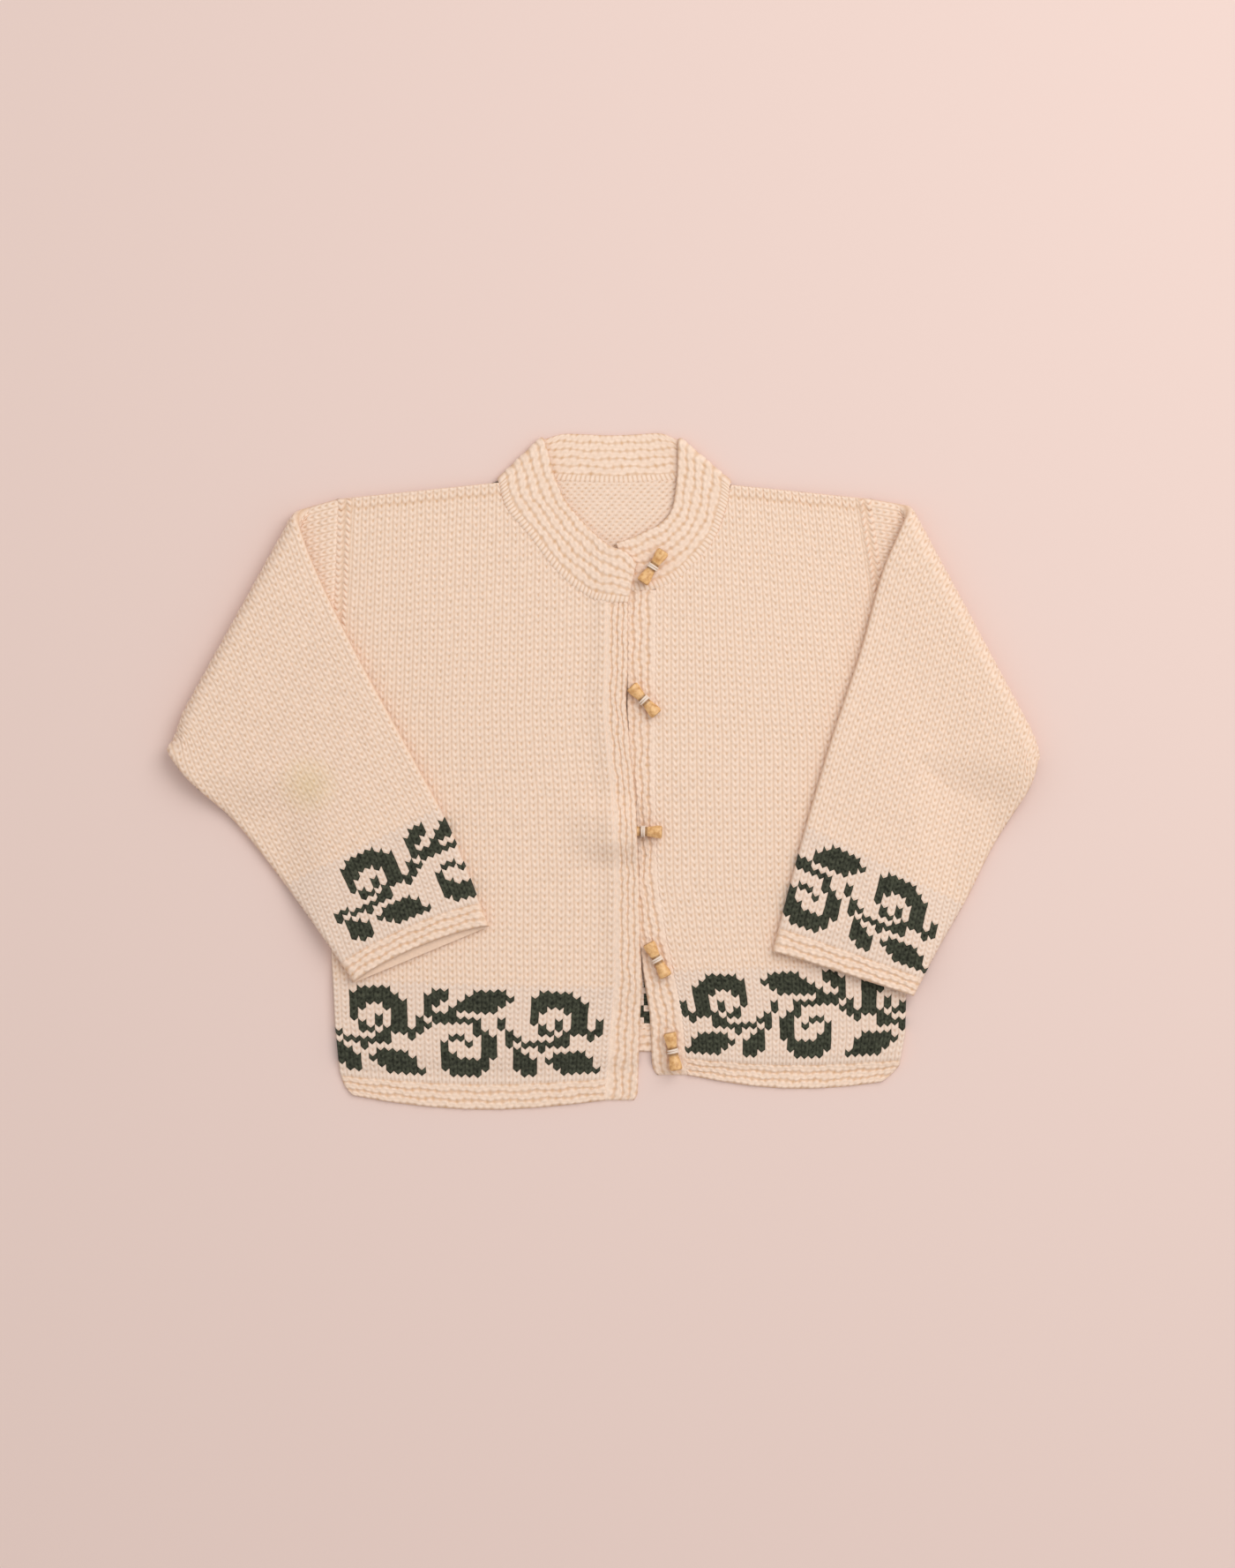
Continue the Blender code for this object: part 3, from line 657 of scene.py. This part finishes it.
def knit_band(name, free, width, lie, turn, sizes, materials):
    """A front band: garter ridges along it, rows v across and stitches u up it."""
    hem, neck = free["y"][0], free["y"][-1] + 1.5
    rows, stitches = 2 * BAND_RIDGES, round((free["y"][-1] - hem) / PITCH)
    v, u = np.meshgrid(np.arange(0, rows + 0.01, 0.2), np.arange(stitches * FINE + 1) / FINE)
    y = blend(hem, neck, u / stitches)
    s = v / rows
    wide = x_at(width, y)
    wander = 0.6 * unevenness(u, v * 0.5) * np.sin(pi * s)
    x = x_at(free, y) - turn * (wide * (1 - s) + 1.1 * (1 - s) ** 8) + wander
    corner = np.maximum(0, BAND_CORNER - (y - hem)) / BAND_CORNER
    x = x - turn * BAND_CORNER_CUT * corner**2 * s
    seam = np.clip((0.9 - v) / 0.6, 0, 1)
    relief = blend(garter_relief(u, v), 0.6, seam)
    ends = np.minimum(y - hem, 2 * (neck - y))
    wall = rounding(np.minimum((1 - s) * wide, ends), 1.5) * (0.92 + 0.08 * rounding(s * wide, 1.2))
    shade = blend(garter_shade(u, v), 1.0, seam)
    under = lie(x, y) + undulation(x, y)
    z = under + wall * (1.7 + sizes.relief * 1000 * relief)
    cloth = Cloth()
    cloth.add(surface(x, y, z), shade, flip=turn < 0)
    low = np.where((v < 0.01) | (s > 0.999), z, under)
    cloth.line(surface(x, y, low), 8, flip=turn > 0)
    return cloth.object(name, materials)


def collar_base_lines():
    """Inner surface of the collar as lines from base to top: front, fold, back, fold, front."""
    names = ("base_x", "base_y", "top_x", "top_y")
    high = COLLAR_LOW + 2 * COLLAR_TURN
    lines = []

    def stretch(table, count, level, climb=False):
        at = np.linspace(0, len(table["base_x"]) - 1, count)
        base_x, base_y, top_x, top_y = (curve_through(table, n, at) for n in names)
        rises = [left_lie(x, base_y - 1) - FRONT_LIE if climb else 0 * x for x in (base_x, top_x)]
        base_z, top_z = (level + rise for rise in rises)
        return list(np.stack([base_x, base_y, base_z, top_x, top_y, top_z], 1))

    def fold(row, sign):
        base_x, base_y, top_x, top_y = (BACK_COLLAR[n][row] for n in names)
        base, top = np.array([base_x, base_y]), np.array([top_x, top_y])
        way = (top - base) / np.linalg.norm(top - base)
        out = np.array([way[1], -way[0]]) * sign
        made = []
        for angle in np.radians(np.arange(157.5, 1, -22.5)):
            move = out * COLLAR_TURN * math.sin(angle)
            z = COLLAR_LOW + COLLAR_TURN * (1 - math.cos(angle))
            made.append(np.array((*(base + move), z, *(top + move), z)))
        return made if sign < 0 else made[::-1]

    lines += stretch(LEFT_COLLAR, 29, high, climb=True)
    lines += fold(0, -1)
    lines += stretch(BACK_COLLAR, 25, COLLAR_LOW)
    lines += fold(-1, 1)
    lines += stretch(RIGHT_COLLAR, 29, high)
    return np.array(lines)


def knit_collar(name, sizes, materials):
    """The collar: lines from base to top swept round the neck, thickened along the normal.

    v counts rows up the collar, one of stocking stitch at the base and garter stitch above it,
    and u counts stitches along it by arc length.
    """
    lines = collar_base_lines()
    middle = (lines[:, :3] + lines[:, 3:]) / 2
    along = arc_length(middle)
    stitches = round(along[-1] / PITCH)
    columns = np.arange(stitches * FINE + 1) / FINE
    foot = 1.0
    rows = 2 * COLLAR_RIDGES
    lines_up = np.concatenate([np.linspace(0, foot, 6)[:-1], foot + np.arange(0, rows + 0.01, 0.2)])
    at = columns / stitches * along[-1]
    line = read_curve(lines, along, at)
    above = FOOT_SHARE + (1 - FOOT_SHARE) * (lines_up - foot) / rows
    share = np.where(lines_up < foot, lines_up * FOOT_SHARE, above)
    u, v = np.meshgrid(columns, lines_up, indexing="ij")
    spread = share[None, :] + 0.012 * unevenness(u, v * 0.5) * np.sin(pi * share)
    spread = spread[..., None]
    inner = blend(line[:, None, :3], line[:, None, 3:], spread)
    inner[..., 2] += (0.45 * np.sin(at / 19.0) ** 2)[:, None] * np.sin(pi * share)
    flat = blend(line[:, None, :3], line[:, None, 3:], share[None, :, None])
    du = np.gradient(flat, axis=0)
    dv = np.gradient(flat, axis=1)
    normal = -np.cross(du, dv)
    normal /= np.linalg.norm(normal, axis=-1, keepdims=True)
    relief = np.where(v < foot, stocking(u, v), garter_relief(u, v - foot))
    height = np.linalg.norm(line[:, 3:] - line[:, :3], axis=1)[:, None]
    ends = np.minimum(at, along[-1] - at)[:, None]
    wall = rounding((1 - share) * height, 1.4) * rounding(share * height, 0.7) * rounding(ends, 1.2)
    half = (wall * (0.9 + 0.6 * sizes.relief * 1000 * relief))[..., None]
    centre = inner + normal * 1.3
    outer = centre + normal * half
    inside = centre - normal * (0.9 * wall)[..., None]
    # Painted shade in dark lines between the legs of the picked-up row
    foot_shade = 1 - 0.65 * np.abs(np.cos(tau * u)) ** 5
    shade = np.where(v < foot, foot_shade, garter_shade(u, v - foot))
    cloth = Cloth()
    cloth.add(outer, shade)
    cloth.add(inside, shade, flip=True)
    return cloth.object(name, materials)


class Sleeve:
    """The map from a sleeve opened out flat to the sleeve folded over onto the front."""

    def __init__(self, table, crease, side, turn):
        start = np.array([crease["x"][0], crease["y"][0]])
        way = np.array([crease["x"][1] - crease["x"][0], crease["y"][1] - crease["y"][0]])
        way /= np.linalg.norm(way)
        self.corner, self.side, self.turn = start, side, turn
        self.outward = np.array([-way[1], way[0]]) * -turn
        self.elbow = np.array([crease["x"][1], crease["y"][1]]) + self.outward * SLEEVE_TURN
        self.inward = -(0.75 * self.outward + 0.66 * way)
        self.top = even_curve(table, ("top_x", "top_y"))
        self.under = even_curve(table, ("under_x", "under_y"))

    def folded(self, flat, offset, swell):
        """offset is measured from the sleeve's middle layer, up where it lies flat."""
        past = (flat - self.corner) @ self.outward
        round_fold = pi * SLEEVE_TURN
        angle = np.clip(past / SLEEVE_TURN, 0, pi)
        back = np.maximum(past - round_fold, 0)
        reach = np.minimum(past, 0) + SLEEVE_TURN * np.sin(angle) - back - offset * np.sin(angle)
        place = flat + self.outward * (reach - past)[..., None]
        away = np.linalg.norm(place - self.elbow, axis=-1) / ELBOW_REACH
        blunt = ELBOW_BLUNT * np.maximum(1 - away, 0) ** 2
        place = place + self.inward * blunt[..., None]
        beside = (x_at(self.side, place[..., 1]) - place[..., 0]) * self.turn
        below = self.side["y"][-2] + 1 - place[..., 1]
        off = np.minimum(beside, below)
        level = SLEEVE_LOW + SLEEVE_AIR
        rest = SLEEVE_REST * (1 - smoothstep(0, SLEEVE_DROOP, off)) + level + swell
        crest = level + 2 * SLEEVE_TURN
        settled = blend(crest, rest, smoothstep(0, SLEEVE_SETTLE, back))
        bent = level + SLEEVE_TURN * (1 - np.cos(angle))
        height = np.where(past > round_fold, settled, bent) + offset * np.cos(angle)
        return np.concatenate([place, height[..., None]], -1)


def knit_sleeve(name, sleeve, column, peek, sizes, materials):
    """A sleeve: stitches u from its upper edge and rows v from its cuff, on both of its faces.

    The columns run parallel to the upper edge and end at the other one, where the sleeve
    narrows; both faces round over into each other at the edges, and the cuff's mouth is open.
    Each face has its full relief only where it shows once the sleeve is folded. peek is how far
    the lower layer of the cuff shows beyond the upper one, in mm.
    """
    rows = SLEEVE_ROWS
    level, length = row_levels(rows, GARTER_ROW, SLEEVE_BORDER_ROW)
    columns = np.arange(math.ceil(SLEEVE_WIDEST / PITCH) * FINE + 1) / FINE
    cloth = Cloth()

    def place(stitch, share, thickness, sign):
        high = read_curve(*sleeve.top, 1 - share)
        low = read_curve(*sleeve.under, 1 - share)
        width = np.linalg.norm(low - high, axis=-1)
        across = np.minimum(stitch * PITCH, width)
        flat = high + (low - high) * (across / width)[..., None]
        arch = np.maximum(np.sin(pi * across / width), 0.0)
        if sign < 0:
            back = peek * arch**0.6 * smoothstep(0.25, 0.0, share)
            flat = flat + (read_curve(*sleeve.top, 1 - share - 0.01) - high) / 2.9 * back[..., None]
        full = rounding(np.minimum(across, width - across), 3.2)
        swell = 0.9 * arch * np.sin(share * 9.0 + 1.0) ** 2 * smoothstep(0, 0.1, share)
        return sleeve.folded(flat, sign * thickness * full, swell), full

    outer, inner = SLEEVE_OUTER_SHOWS, SLEEVE_INNER_SHOWS
    stretches = {
        1: ((0, 6, 0.34), (6, outer, 1.0), (outer, rows + 0.01, 0.25)),
        -1: ((0, 6, 0.2), (6, inner, 0.25), (inner, rows + 0.01, 1.0)),
    }
    for sign in (1, -1):
        flip = (sign > 0) == (sleeve.turn > 0)
        u, v = np.meshgrid(columns, row_lines(*stretches[sign]))
        wander = 0.06 * unevenness(u, v) * smoothstep(0, 2, u)
        lifted = np.interp(v + lift_of(u, v, GARTER, rows), np.arange(rows + 1), level)
        relief = edged(v, garter_relief(u, v), stocking(u, v))
        shade = edged(v, garter_shade(u, v), stocking_shade(u, v))
        if sign > 0:
            relief, shade = relief * (v > outer), np.where(v > outer, shade, 0.7)
        end = 0.5 + 0.5 * rounding(lifted * length, 1.0)
        end = end * (1 - 0.35 * smoothstep(rows - 1.5, rows, v))
        thickness = SLEEVE_AIR + (WALL - 0.2 + sizes.relief * 1000 * relief) * end
        points, full = place(u + wander, lifted, thickness, sign)
        # Painted shade, darker where the faces round over at the edges
        cloth.add(points, shade * (0.7 + 0.3 * full), column(*cell_numbers(u, v)), flip=not flip)
        # The inside of the cuff, seen through its mouth, a little darker with painted shade
        deep_u, deep = np.meshgrid(columns, np.linspace(0.18, 0.0, 7))
        lining, _ = place(deep_u, deep, np.full(deep.shape, SLEEVE_AIR), sign)
        rim = np.concatenate([lining, points[:1]])
        cloth.add(rim, 0.7, flip=not flip)
    return cloth.object(name, materials)


TOGGLES = {
    "name": ("toggle_1", "toggle_2", "toggle_3", "toggle_4", "toggle_5"),
    "x": (24.8, 19.6, 19.0, 27.4, 36.6),
    "y": (120.5, 41.8, -35.6, -111.4, -165.4),
    "turn": (56.0, -48.0, -2.0, -62.0, -80.0),
    "lies_on": (6.2, 5.3, 5.3, 5.3, 5.3),
}
TOGGLE_RADIUS = 3.8
TOGGLE_WAIST = 0.7  # of the radius
THREAD = 0.45  # radius
THREAD_TURNS = 4
THREAD_SIDES = 9


def turned_frame(x, y, turn, lies_on):
    """The centre of a toggle and its axes: along it, across it and up."""
    angle = math.radians(turn)
    height = lies_on + SEAM_GAP + TOGGLE_RADIUS
    along = np.array([math.cos(angle), math.sin(angle), 0.0])
    across = np.array([-math.sin(angle), math.cos(angle), 0.0])
    return np.array([x, y, height]), along, across, np.array([0.0, 0.0, 1.0])


def around(frame, distance, radius, angle):
    """Points at a distance along the toggle, a radius from its axis and an angle about it."""
    centre, along, across, up = frame
    return (
        centre
        + along * distance[..., None]
        + across * (radius * np.cos(angle))[..., None]
        + up * (radius * np.sin(angle))[..., None]
    )


def toggle_radius(share):
    """Radius at -1 to 1 along a toggle: full and soft-edged at the ends, with a waist."""
    end = np.sqrt(np.maximum(1 - np.clip((np.abs(share) - 0.9) / 0.1, 0, 1) ** 2 * 0.35, 0))
    waist = TOGGLE_WAIST + (1 - TOGGLE_WAIST) * smoothstep(0.08, 0.85, np.abs(share))
    return TOGGLE_RADIUS * waist * end


def turn_toggle(name, x, y, turn, lies_on, long, material):
    """A toggle: a circle swept along its axis, with flat ends and slight hand-cut facets."""
    share = np.concatenate([[-1.0], np.linspace(-1, 1, 49), [1.0]])
    radius = toggle_radius(share)
    radius[[0, -1]] = 0.0
    angle = np.linspace(0, tau, 49)
    facet = 1 + 0.015 * np.cos(7 * angle)
    ring = radius[:, None] * facet[None, :]
    points = around(turned_frame(x, y, turn, lies_on), (share * long / 2)[:, None], ring, angle)
    # Painted shade at the waist beside the thread and at the cut ends
    waist_and_end_shade = 0.7 * bell(np.abs(share) - 0.16, 0.07) + 0.45 * (np.abs(share) > 0.97)
    cloth = Cloth()
    cloth.add(points, np.repeat((1 - waist_and_end_shade)[:, None], len(angle), 1), flip=True)
    return cloth.object(name, [material])


def wind_thread(name, x, y, turn, lies_on, material):
    """Sewing thread: a circle swept along a helix of a few turns round the toggle's waist."""
    t = np.linspace(0, 1, THREAD_TURNS * 28 + 1)
    angle = tau * THREAD_TURNS * t
    reach = TOGGLE_RADIUS * TOGGLE_WAIST + THREAD * 0.8
    wound = (t - 0.5) * 2.6 + 0.25 * np.sin(angle * 0.5)
    path = around(turned_frame(x, y, turn, lies_on), wound, reach, angle)
    way = np.gradient(path, axis=0)
    way /= np.linalg.norm(way, axis=1, keepdims=True)
    side = np.cross(way, (0.31, 0.17, 0.93))
    side /= np.linalg.norm(side, axis=1, keepdims=True)
    other = np.cross(way, side)
    angle = np.linspace(0, tau, THREAD_SIDES + 1)[None, :, None]
    size = np.full(len(path), THREAD)
    size[[0, -1]] = 0.0
    ring = side[:, None] * np.cos(angle) + other[:, None] * np.sin(angle)
    cloth = Cloth()
    cloth.add(path[:, None] + ring * size[:, None, None])
    return cloth.object(name, [material])


def linear(hex_colour):
    """Scene-linear colour of an sRGB hex string."""
    channels = [int(hex_colour[k : k + 2], 16) / 255 for k in (1, 3, 5)]
    light = [c / 12.92 if c <= 0.04045 else ((c + 0.055) / 1.055) ** 2.4 for c in channels]
    return (*light, 1.0)


def feed(tree, socket, value):
    """Links a socket to another one, or sets its value."""
    if isinstance(value, bpy.types.NodeSocket):
        tree.links.new(value, socket)
    else:
        socket.default_value = value


def add_node(tree, kind, **inputs):
    """A shader node, with its inputs set to values or linked from sockets."""
    node = tree.nodes.new(kind)
    for name, value in inputs.items():
        feed(tree, node.inputs[name.replace("_", " ")], value)
    return node


def mix(tree, share, first, second, kind="MIX"):
    node = tree.nodes.new("ShaderNodeMix")
    node.data_type = "RGBA"
    node.blend_type = kind
    # Its colour sockets share their names with those of its other kinds, so they go by number
    for number, value in ((0, share), (6, first), (7, second)):
        feed(tree, node.inputs[number], value)
    return node.outputs[2]


def painted_shading_factor(tree):
    """The mesh's painted shading: 0 where shade is painted deep in the grooves, and 1 on top."""
    node = add_node(tree, "ShaderNodeAttribute")
    node.attribute_name = "hollow"
    return node.outputs["Fac"]


def new_material(name, **inputs):
    material = bpy.data.materials.new(name)
    material.use_nodes = True
    material.node_tree.nodes.clear()
    tree = material.node_tree
    shader = add_node(tree, "ShaderNodeBsdfPrincipled", **inputs)
    output = add_node(tree, "ShaderNodeOutputMaterial")
    tree.links.new(shader.outputs[0], output.inputs["Surface"])
    return material, tree, shader


def noise(tree, place, scale, detail):
    node = add_node(tree, "ShaderNodeTexNoise", Vector=place, Scale=scale, Detail=detail)
    return node.outputs["Fac"]


def ranged(tree, value, low, high, start=0.0, end=1.0):
    """The value with low to high stretched to start to end."""
    limits = {"From_Min": low, "From_Max": high, "To_Min": start, "To_Max": end}
    return add_node(tree, "ShaderNodeMapRange", Value=value, **limits).outputs[0]


def colour_and_bump(tree, shader, colour, height, strength, distance):
    bump = add_node(tree, "ShaderNodeBump", Height=height, Strength=strength, Distance=distance)
    tree.links.new(colour, shader.inputs["Base Color"])
    tree.links.new(bump.outputs[0], shader.inputs["Normal"])


def wool(name, colour, groove_shade_colour, stain=None, fleck=0.05):
    """Spun wool: painted shade, darker and warmer, between the stitches, with fine loose fibres."""
    material, tree, shader = new_material(
        name, Roughness=0.95, Specular_IOR_Level=0.1, Sheen_Weight=0.08, Sheen_Roughness=0.6
    )
    place = add_node(tree, "ShaderNodeTexCoord").outputs["Object"]
    # Painted shade: the groove shade colour where the painted shading is low
    base = mix(tree, ranged(tree, painted_shading_factor(tree), 0.0, 0.95), groove_shade_colour, colour)
    if stain:
        # An old mark on the left sleeve, about 40 mm across, fading outwards
        away = add_node(tree, "ShaderNodeVectorMath")
        away.operation = "DISTANCE"
        feed(tree, away.inputs[0], place)
        feed(tree, away.inputs[1], STAIN_PLACE)
        base = mix(tree, ranged(tree, away.outputs["Value"], 0.002, 0.02, 0.35, 0.0), base, stain)
    # Changes of shade along the yarn, about 2 mm long
    shade = ranged(tree, noise(tree, place, 480.0, 3.0), 0.3, 0.7, 1 - fleck, 1 + fleck)
    grey = add_node(tree, "ShaderNodeCombineColor", Red=shade, Green=shade, Blue=shade)
    base = mix(tree, 1.0, base, grey.outputs[0], "MULTIPLY")
    # Fibres about 0.3 mm across
    colour_and_bump(tree, shader, base, noise(tree, place, 2600.0, 2.0), 0.35, 0.0003)
    return material


def bamboo(name, colour, dark):
    """Turned bamboo: fine fibres along the grain, with painted shade at the waist and the cut ends.
    """
    material, tree, shader = new_material(name, Roughness=0.42)
    place = add_node(tree, "ShaderNodeTexCoord").outputs["Object"]
    grain = noise(tree, place, 420.0, 4.0)
    base = mix(tree, ranged(tree, grain, 0.3, 0.6), dark, colour)
    # Painted shade, dark brown where the painted shading is low
    base = mix(tree, painted_shading_factor(tree), linear("#5d3414"), base)
    colour_and_bump(tree, shader, base, grain, 0.15, 0.0002)
    return material


def plain(name, colour, roughness):
    return new_material(name, Base_Color=colour, Roughness=roughness)[0]


def yarns(colours):
    """The three yarns, made once."""
    names = [f"{colour} wool yarn, hand spun" for colour in ("Cream", "White", "Green")]
    found = [bpy.data.materials.get(name) for name in names]
    if all(found):
        return found
    # Each yarn's colour, then the colour of the shade painted into its grooves
    return [
        wool(names[0], colours.cream, linear("#d2a57a"), stain=linear("#dfc88f")),
        wool(names[1], colours.white, linear("#cfa888")),
        wool(names[2], colours.green, linear("#0b0b06"), fleck=0.55),
    ]


def hand_over(obj, node=None):
    """The piece rides the garment and takes the place of this node."""
    if not len(obj.data.polygons):
        raise RuntimeError(f"{obj.name} has no surface")
    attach(obj, "root")
    if node:
        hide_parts(node)


def bare_where(bare, yarn):
    """The green left out of these stitches."""
    return np.where(bare, np.minimum(yarn, WHITE), yarn)


def left_front_column(stitch, row):
    """The left front's yarns: the last two stitches before its band stay plain."""
    return bare_where(stitch > 32.5, vine_yarn(stitch + 13, row))


def right_front_column(stitch, row):
    return vine_yarn(stitch - 28, row)


def left_sleeve_column(stitch, row):
    """The left sleeve's yarns: its outer stitches, and one more from row 14 up, stay plain."""
    return bare_where((stitch > 17) | ((stitch > 16) & (row > 13)), vine_yarn(29 - stitch, row))


def right_sleeve_column(stitch, row):
    """The right sleeve's yarns: its outer stitches and the inner upper corner stay plain."""
    return bare_where((stitch > 19) | ((stitch < 2) & (row > 17)), vine_yarn(stitch + 4, row))


def length_property(name, description, default):
    return bpy.props.FloatProperty(
        name=name, description=description, default=default, min=default / 4, max=default * 2,
        precision=5, subtype="DISTANCE", unit="LENGTH",
    )


class CardiganSizes(bpy.types.PropertyGroup):
    """Sizes of the stitches."""

    relief: length_property("Relief", "Depth between the stitches", 0.00115)
    toggle_length: length_property("Toggle length", "Length of each toggle", 0.0225)


def colour_property(name, description, hex_colour):
    limits = {"subtype": "COLOR", "size": 4, "min": 0, "max": 1}
    return bpy.props.FloatVectorProperty(
        name=name, description=description, default=linear(hex_colour), **limits
    )


class CardiganColours(bpy.types.PropertyGroup):
    """Colours of the yarns, the toggles and the table."""

    cream: colour_property("Cream", "Main yarn", "#f6dcc8")
    white: colour_property("White", "Ground yarn of the border", "#f1dac9")
    green: colour_property("Green", "Pattern yarn", "#424437")
    wood: colour_property("Wood", "Turned toggles", "#eebf84")
    table: colour_property("Table", "Cloth under the garment", "#e8cfc6")


def settings(context):
    """The stitches' sizes and the three yarns."""
    return context.scene.cardigan_sizes, yarns(context.scene.cardigan_colours)


class CARDIGAN_OT_fronts(bpy.types.Operator):
    """Knit both fronts"""

    bl_idname = "cardigan.fronts"
    bl_label = "Knit the fronts"

    def execute(self, context):
        for node, *shape in (
            (
                "front_left", LEFT_SIDE, LEFT_FREE_EDGE, LEFT_BAND_WIDTH, LEFT_COLLAR, LEFT_CUT,
                left_lie, 1, left_front_column,
            ),
            (
                "front_right", RIGHT_SIDE, RIGHT_FREE_EDGE, RIGHT_BAND_WIDTH, RIGHT_COLLAR,
                RIGHT_CUT, right_lie, -1, right_front_column,
            ),
        ):
            hand_over(knit_front(node + "_knit", *shape, *settings(context)), node)
        return {"FINISHED"}


class CARDIGAN_OT_back(bpy.types.Operator):
    """Knit the back"""

    bl_idname = "cardigan.back"
    bl_label = "Knit the back"

    def execute(self, context):
        hand_over(knit_back("back_knit", *settings(context)), "back")
        return {"FINISHED"}


class CARDIGAN_OT_bands(bpy.types.Operator):
    """Knit both garter bands"""

    bl_idname = "cardigan.bands"
    bl_label = "Knit the front bands"

    def execute(self, context):
        for node, *shape in (
            ("band_left", LEFT_FREE_EDGE, LEFT_BAND_WIDTH, left_lie, 1),
            ("band_right", RIGHT_FREE_EDGE, RIGHT_BAND_WIDTH, right_lie, -1),
        ):
            hand_over(knit_band(node + "_knit", *shape, *settings(context)), node)
        return {"FINISHED"}


class CARDIGAN_OT_collar(bpy.types.Operator):
    """Knit the garter collar"""

    bl_idname = "cardigan.collar"
    bl_label = "Knit the collar"

    def execute(self, context):
        hand_over(knit_collar("collar_knit", *settings(context)), "collar")
        return {"FINISHED"}


class CARDIGAN_OT_sleeves(bpy.types.Operator):
    """Knit both sleeves and fold them onto the fronts"""

    bl_idname = "cardigan.sleeves"
    bl_label = "Knit the sleeves"

    def execute(self, context):
        for node, table, crease, side, turn, column, peek in (
            ("sleeve_left", LEFT_SLEEVE, LEFT_CREASE, LEFT_SIDE, 1, left_sleeve_column, 5.0),
            ("sleeve_right", RIGHT_SLEEVE, RIGHT_CREASE, RIGHT_SIDE, -1, right_sleeve_column, 0.5),
        ):
            sleeve = Sleeve(table, crease, side, turn)
            hand_over(knit_sleeve(node + "_knit", sleeve, column, peek, *settings(context)), node)
        return {"FINISHED"}


class CARDIGAN_OT_toggles(bpy.types.Operator):
    """Turn the five toggles and wind their threads"""

    bl_idname = "cardigan.toggles"
    bl_label = "Sew on the toggles"

    def execute(self, context):
        colours = context.scene.cardigan_colours
        long = context.scene.cardigan_sizes.toggle_length * 1000
        wood = bamboo("Bamboo, turned and waxed", colours.wood, linear("#c78f52"))
        thread = plain("White cotton sewing thread", linear("#ecd9c9"), 0.8)
        for name, x, y, turn, lies_on in zip(*TOGGLES.values()):
            toggle = turn_toggle(name + "_turned", x, y, turn, lies_on, long, wood)
            hand_over(toggle, name)
            hand_over(wind_thread(name + "_thread", x, y, turn, lies_on, thread))
        return {"FINISHED"}


class CARDIGAN_OT_stage(bpy.types.Operator):
    """Lay the table and set the camera and the light"""

    bl_idname = "cardigan.stage"
    bl_label = "Set the stage"

    def execute(self, context):
        scene = context.scene
        r, low = TABLE_REACH, TABLE_LEVEL
        mesh = bpy.data.meshes.new("table")
        corners = [(-r, -r, low), (r, -r, low), (r, r, low), (-r, r, low)]
        mesh.from_pydata(corners, [], [(0, 1, 2, 3)])
        mesh.materials.append(plain("Cotton sheet, woven", scene.cardigan_colours.table, 0.9))
        place_object("table", mesh)
        lens = bpy.data.cameras.new("camera")
        lens.lens = LENS
        camera = place_object("camera", lens)
        camera.location = (*CAMERA_OVER, FRAME_HEIGHT * LENS / SENSOR)
        scene.camera = camera
        lamp = bpy.data.lights.new("window", "AREA")
        lamp.energy = LAMP_POWER
        lamp.size = LAMP_SIZE
        window = place_object("window", lamp)
        window.location = LAMP_PLACE
        window.rotation_euler = (-LAMP_TILT, LAMP_TILT, 0)
        world = bpy.data.worlds.new("soft light")
        world.use_nodes = True
        sky = world.node_tree.nodes["Background"]
        sky.inputs["Color"].default_value = SKY_COLOUR
        sky.inputs["Strength"].default_value = SKY_STRENGTH
        scene.world = world
        scene.view_settings.view_transform = "Standard"
        return {"FINISHED"}


class CARDIGAN_PT_parts(bpy.types.Panel):
    """The cardigan's sizes, colours and pieces"""

    bl_label = "Cardigan"
    bl_idname = "CARDIGAN_PT_parts"
    bl_space_type = "VIEW_3D"
    bl_region_type = "UI"
    bl_category = "Cardigan"

    def draw(self, context):
        column = self.layout.column(align=True)
        for group in (context.scene.cardigan_sizes, context.scene.cardigan_colours):
            for key in group.bl_rna.properties.keys():
                if key not in ("rna_type", "name"):
                    column.prop(group, key)
        for operator in OPERATORS:
            column.operator(operator.bl_idname)


OPERATORS = (
    CARDIGAN_OT_fronts,
    CARDIGAN_OT_back,
    CARDIGAN_OT_bands,
    CARDIGAN_OT_collar,
    CARDIGAN_OT_sleeves,
    CARDIGAN_OT_toggles,
    CARDIGAN_OT_stage,
)
CLASSES = (CardiganSizes, CardiganColours, *OPERATORS, CARDIGAN_PT_parts)


def register():
    for kind in CLASSES:
        bpy.utils.register_class(kind)
    bpy.types.Scene.cardigan_sizes = bpy.props.PointerProperty(type=CardiganSizes)
    bpy.types.Scene.cardigan_colours = bpy.props.PointerProperty(type=CardiganColours)


def unregister():
    del bpy.types.Scene.cardigan_colours
    del bpy.types.Scene.cardigan_sizes
    for kind in reversed(CLASSES):
        bpy.utils.unregister_class(kind)


def main():
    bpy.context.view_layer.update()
    register()
    bpy.ops.cardigan.fronts()
    bpy.ops.cardigan.back()
    bpy.ops.cardigan.bands()
    bpy.ops.cardigan.collar()
    bpy.ops.cardigan.sleeves()
    bpy.ops.cardigan.toggles()
    bpy.ops.cardigan.stage()


if __name__ == "__main__":
    main()
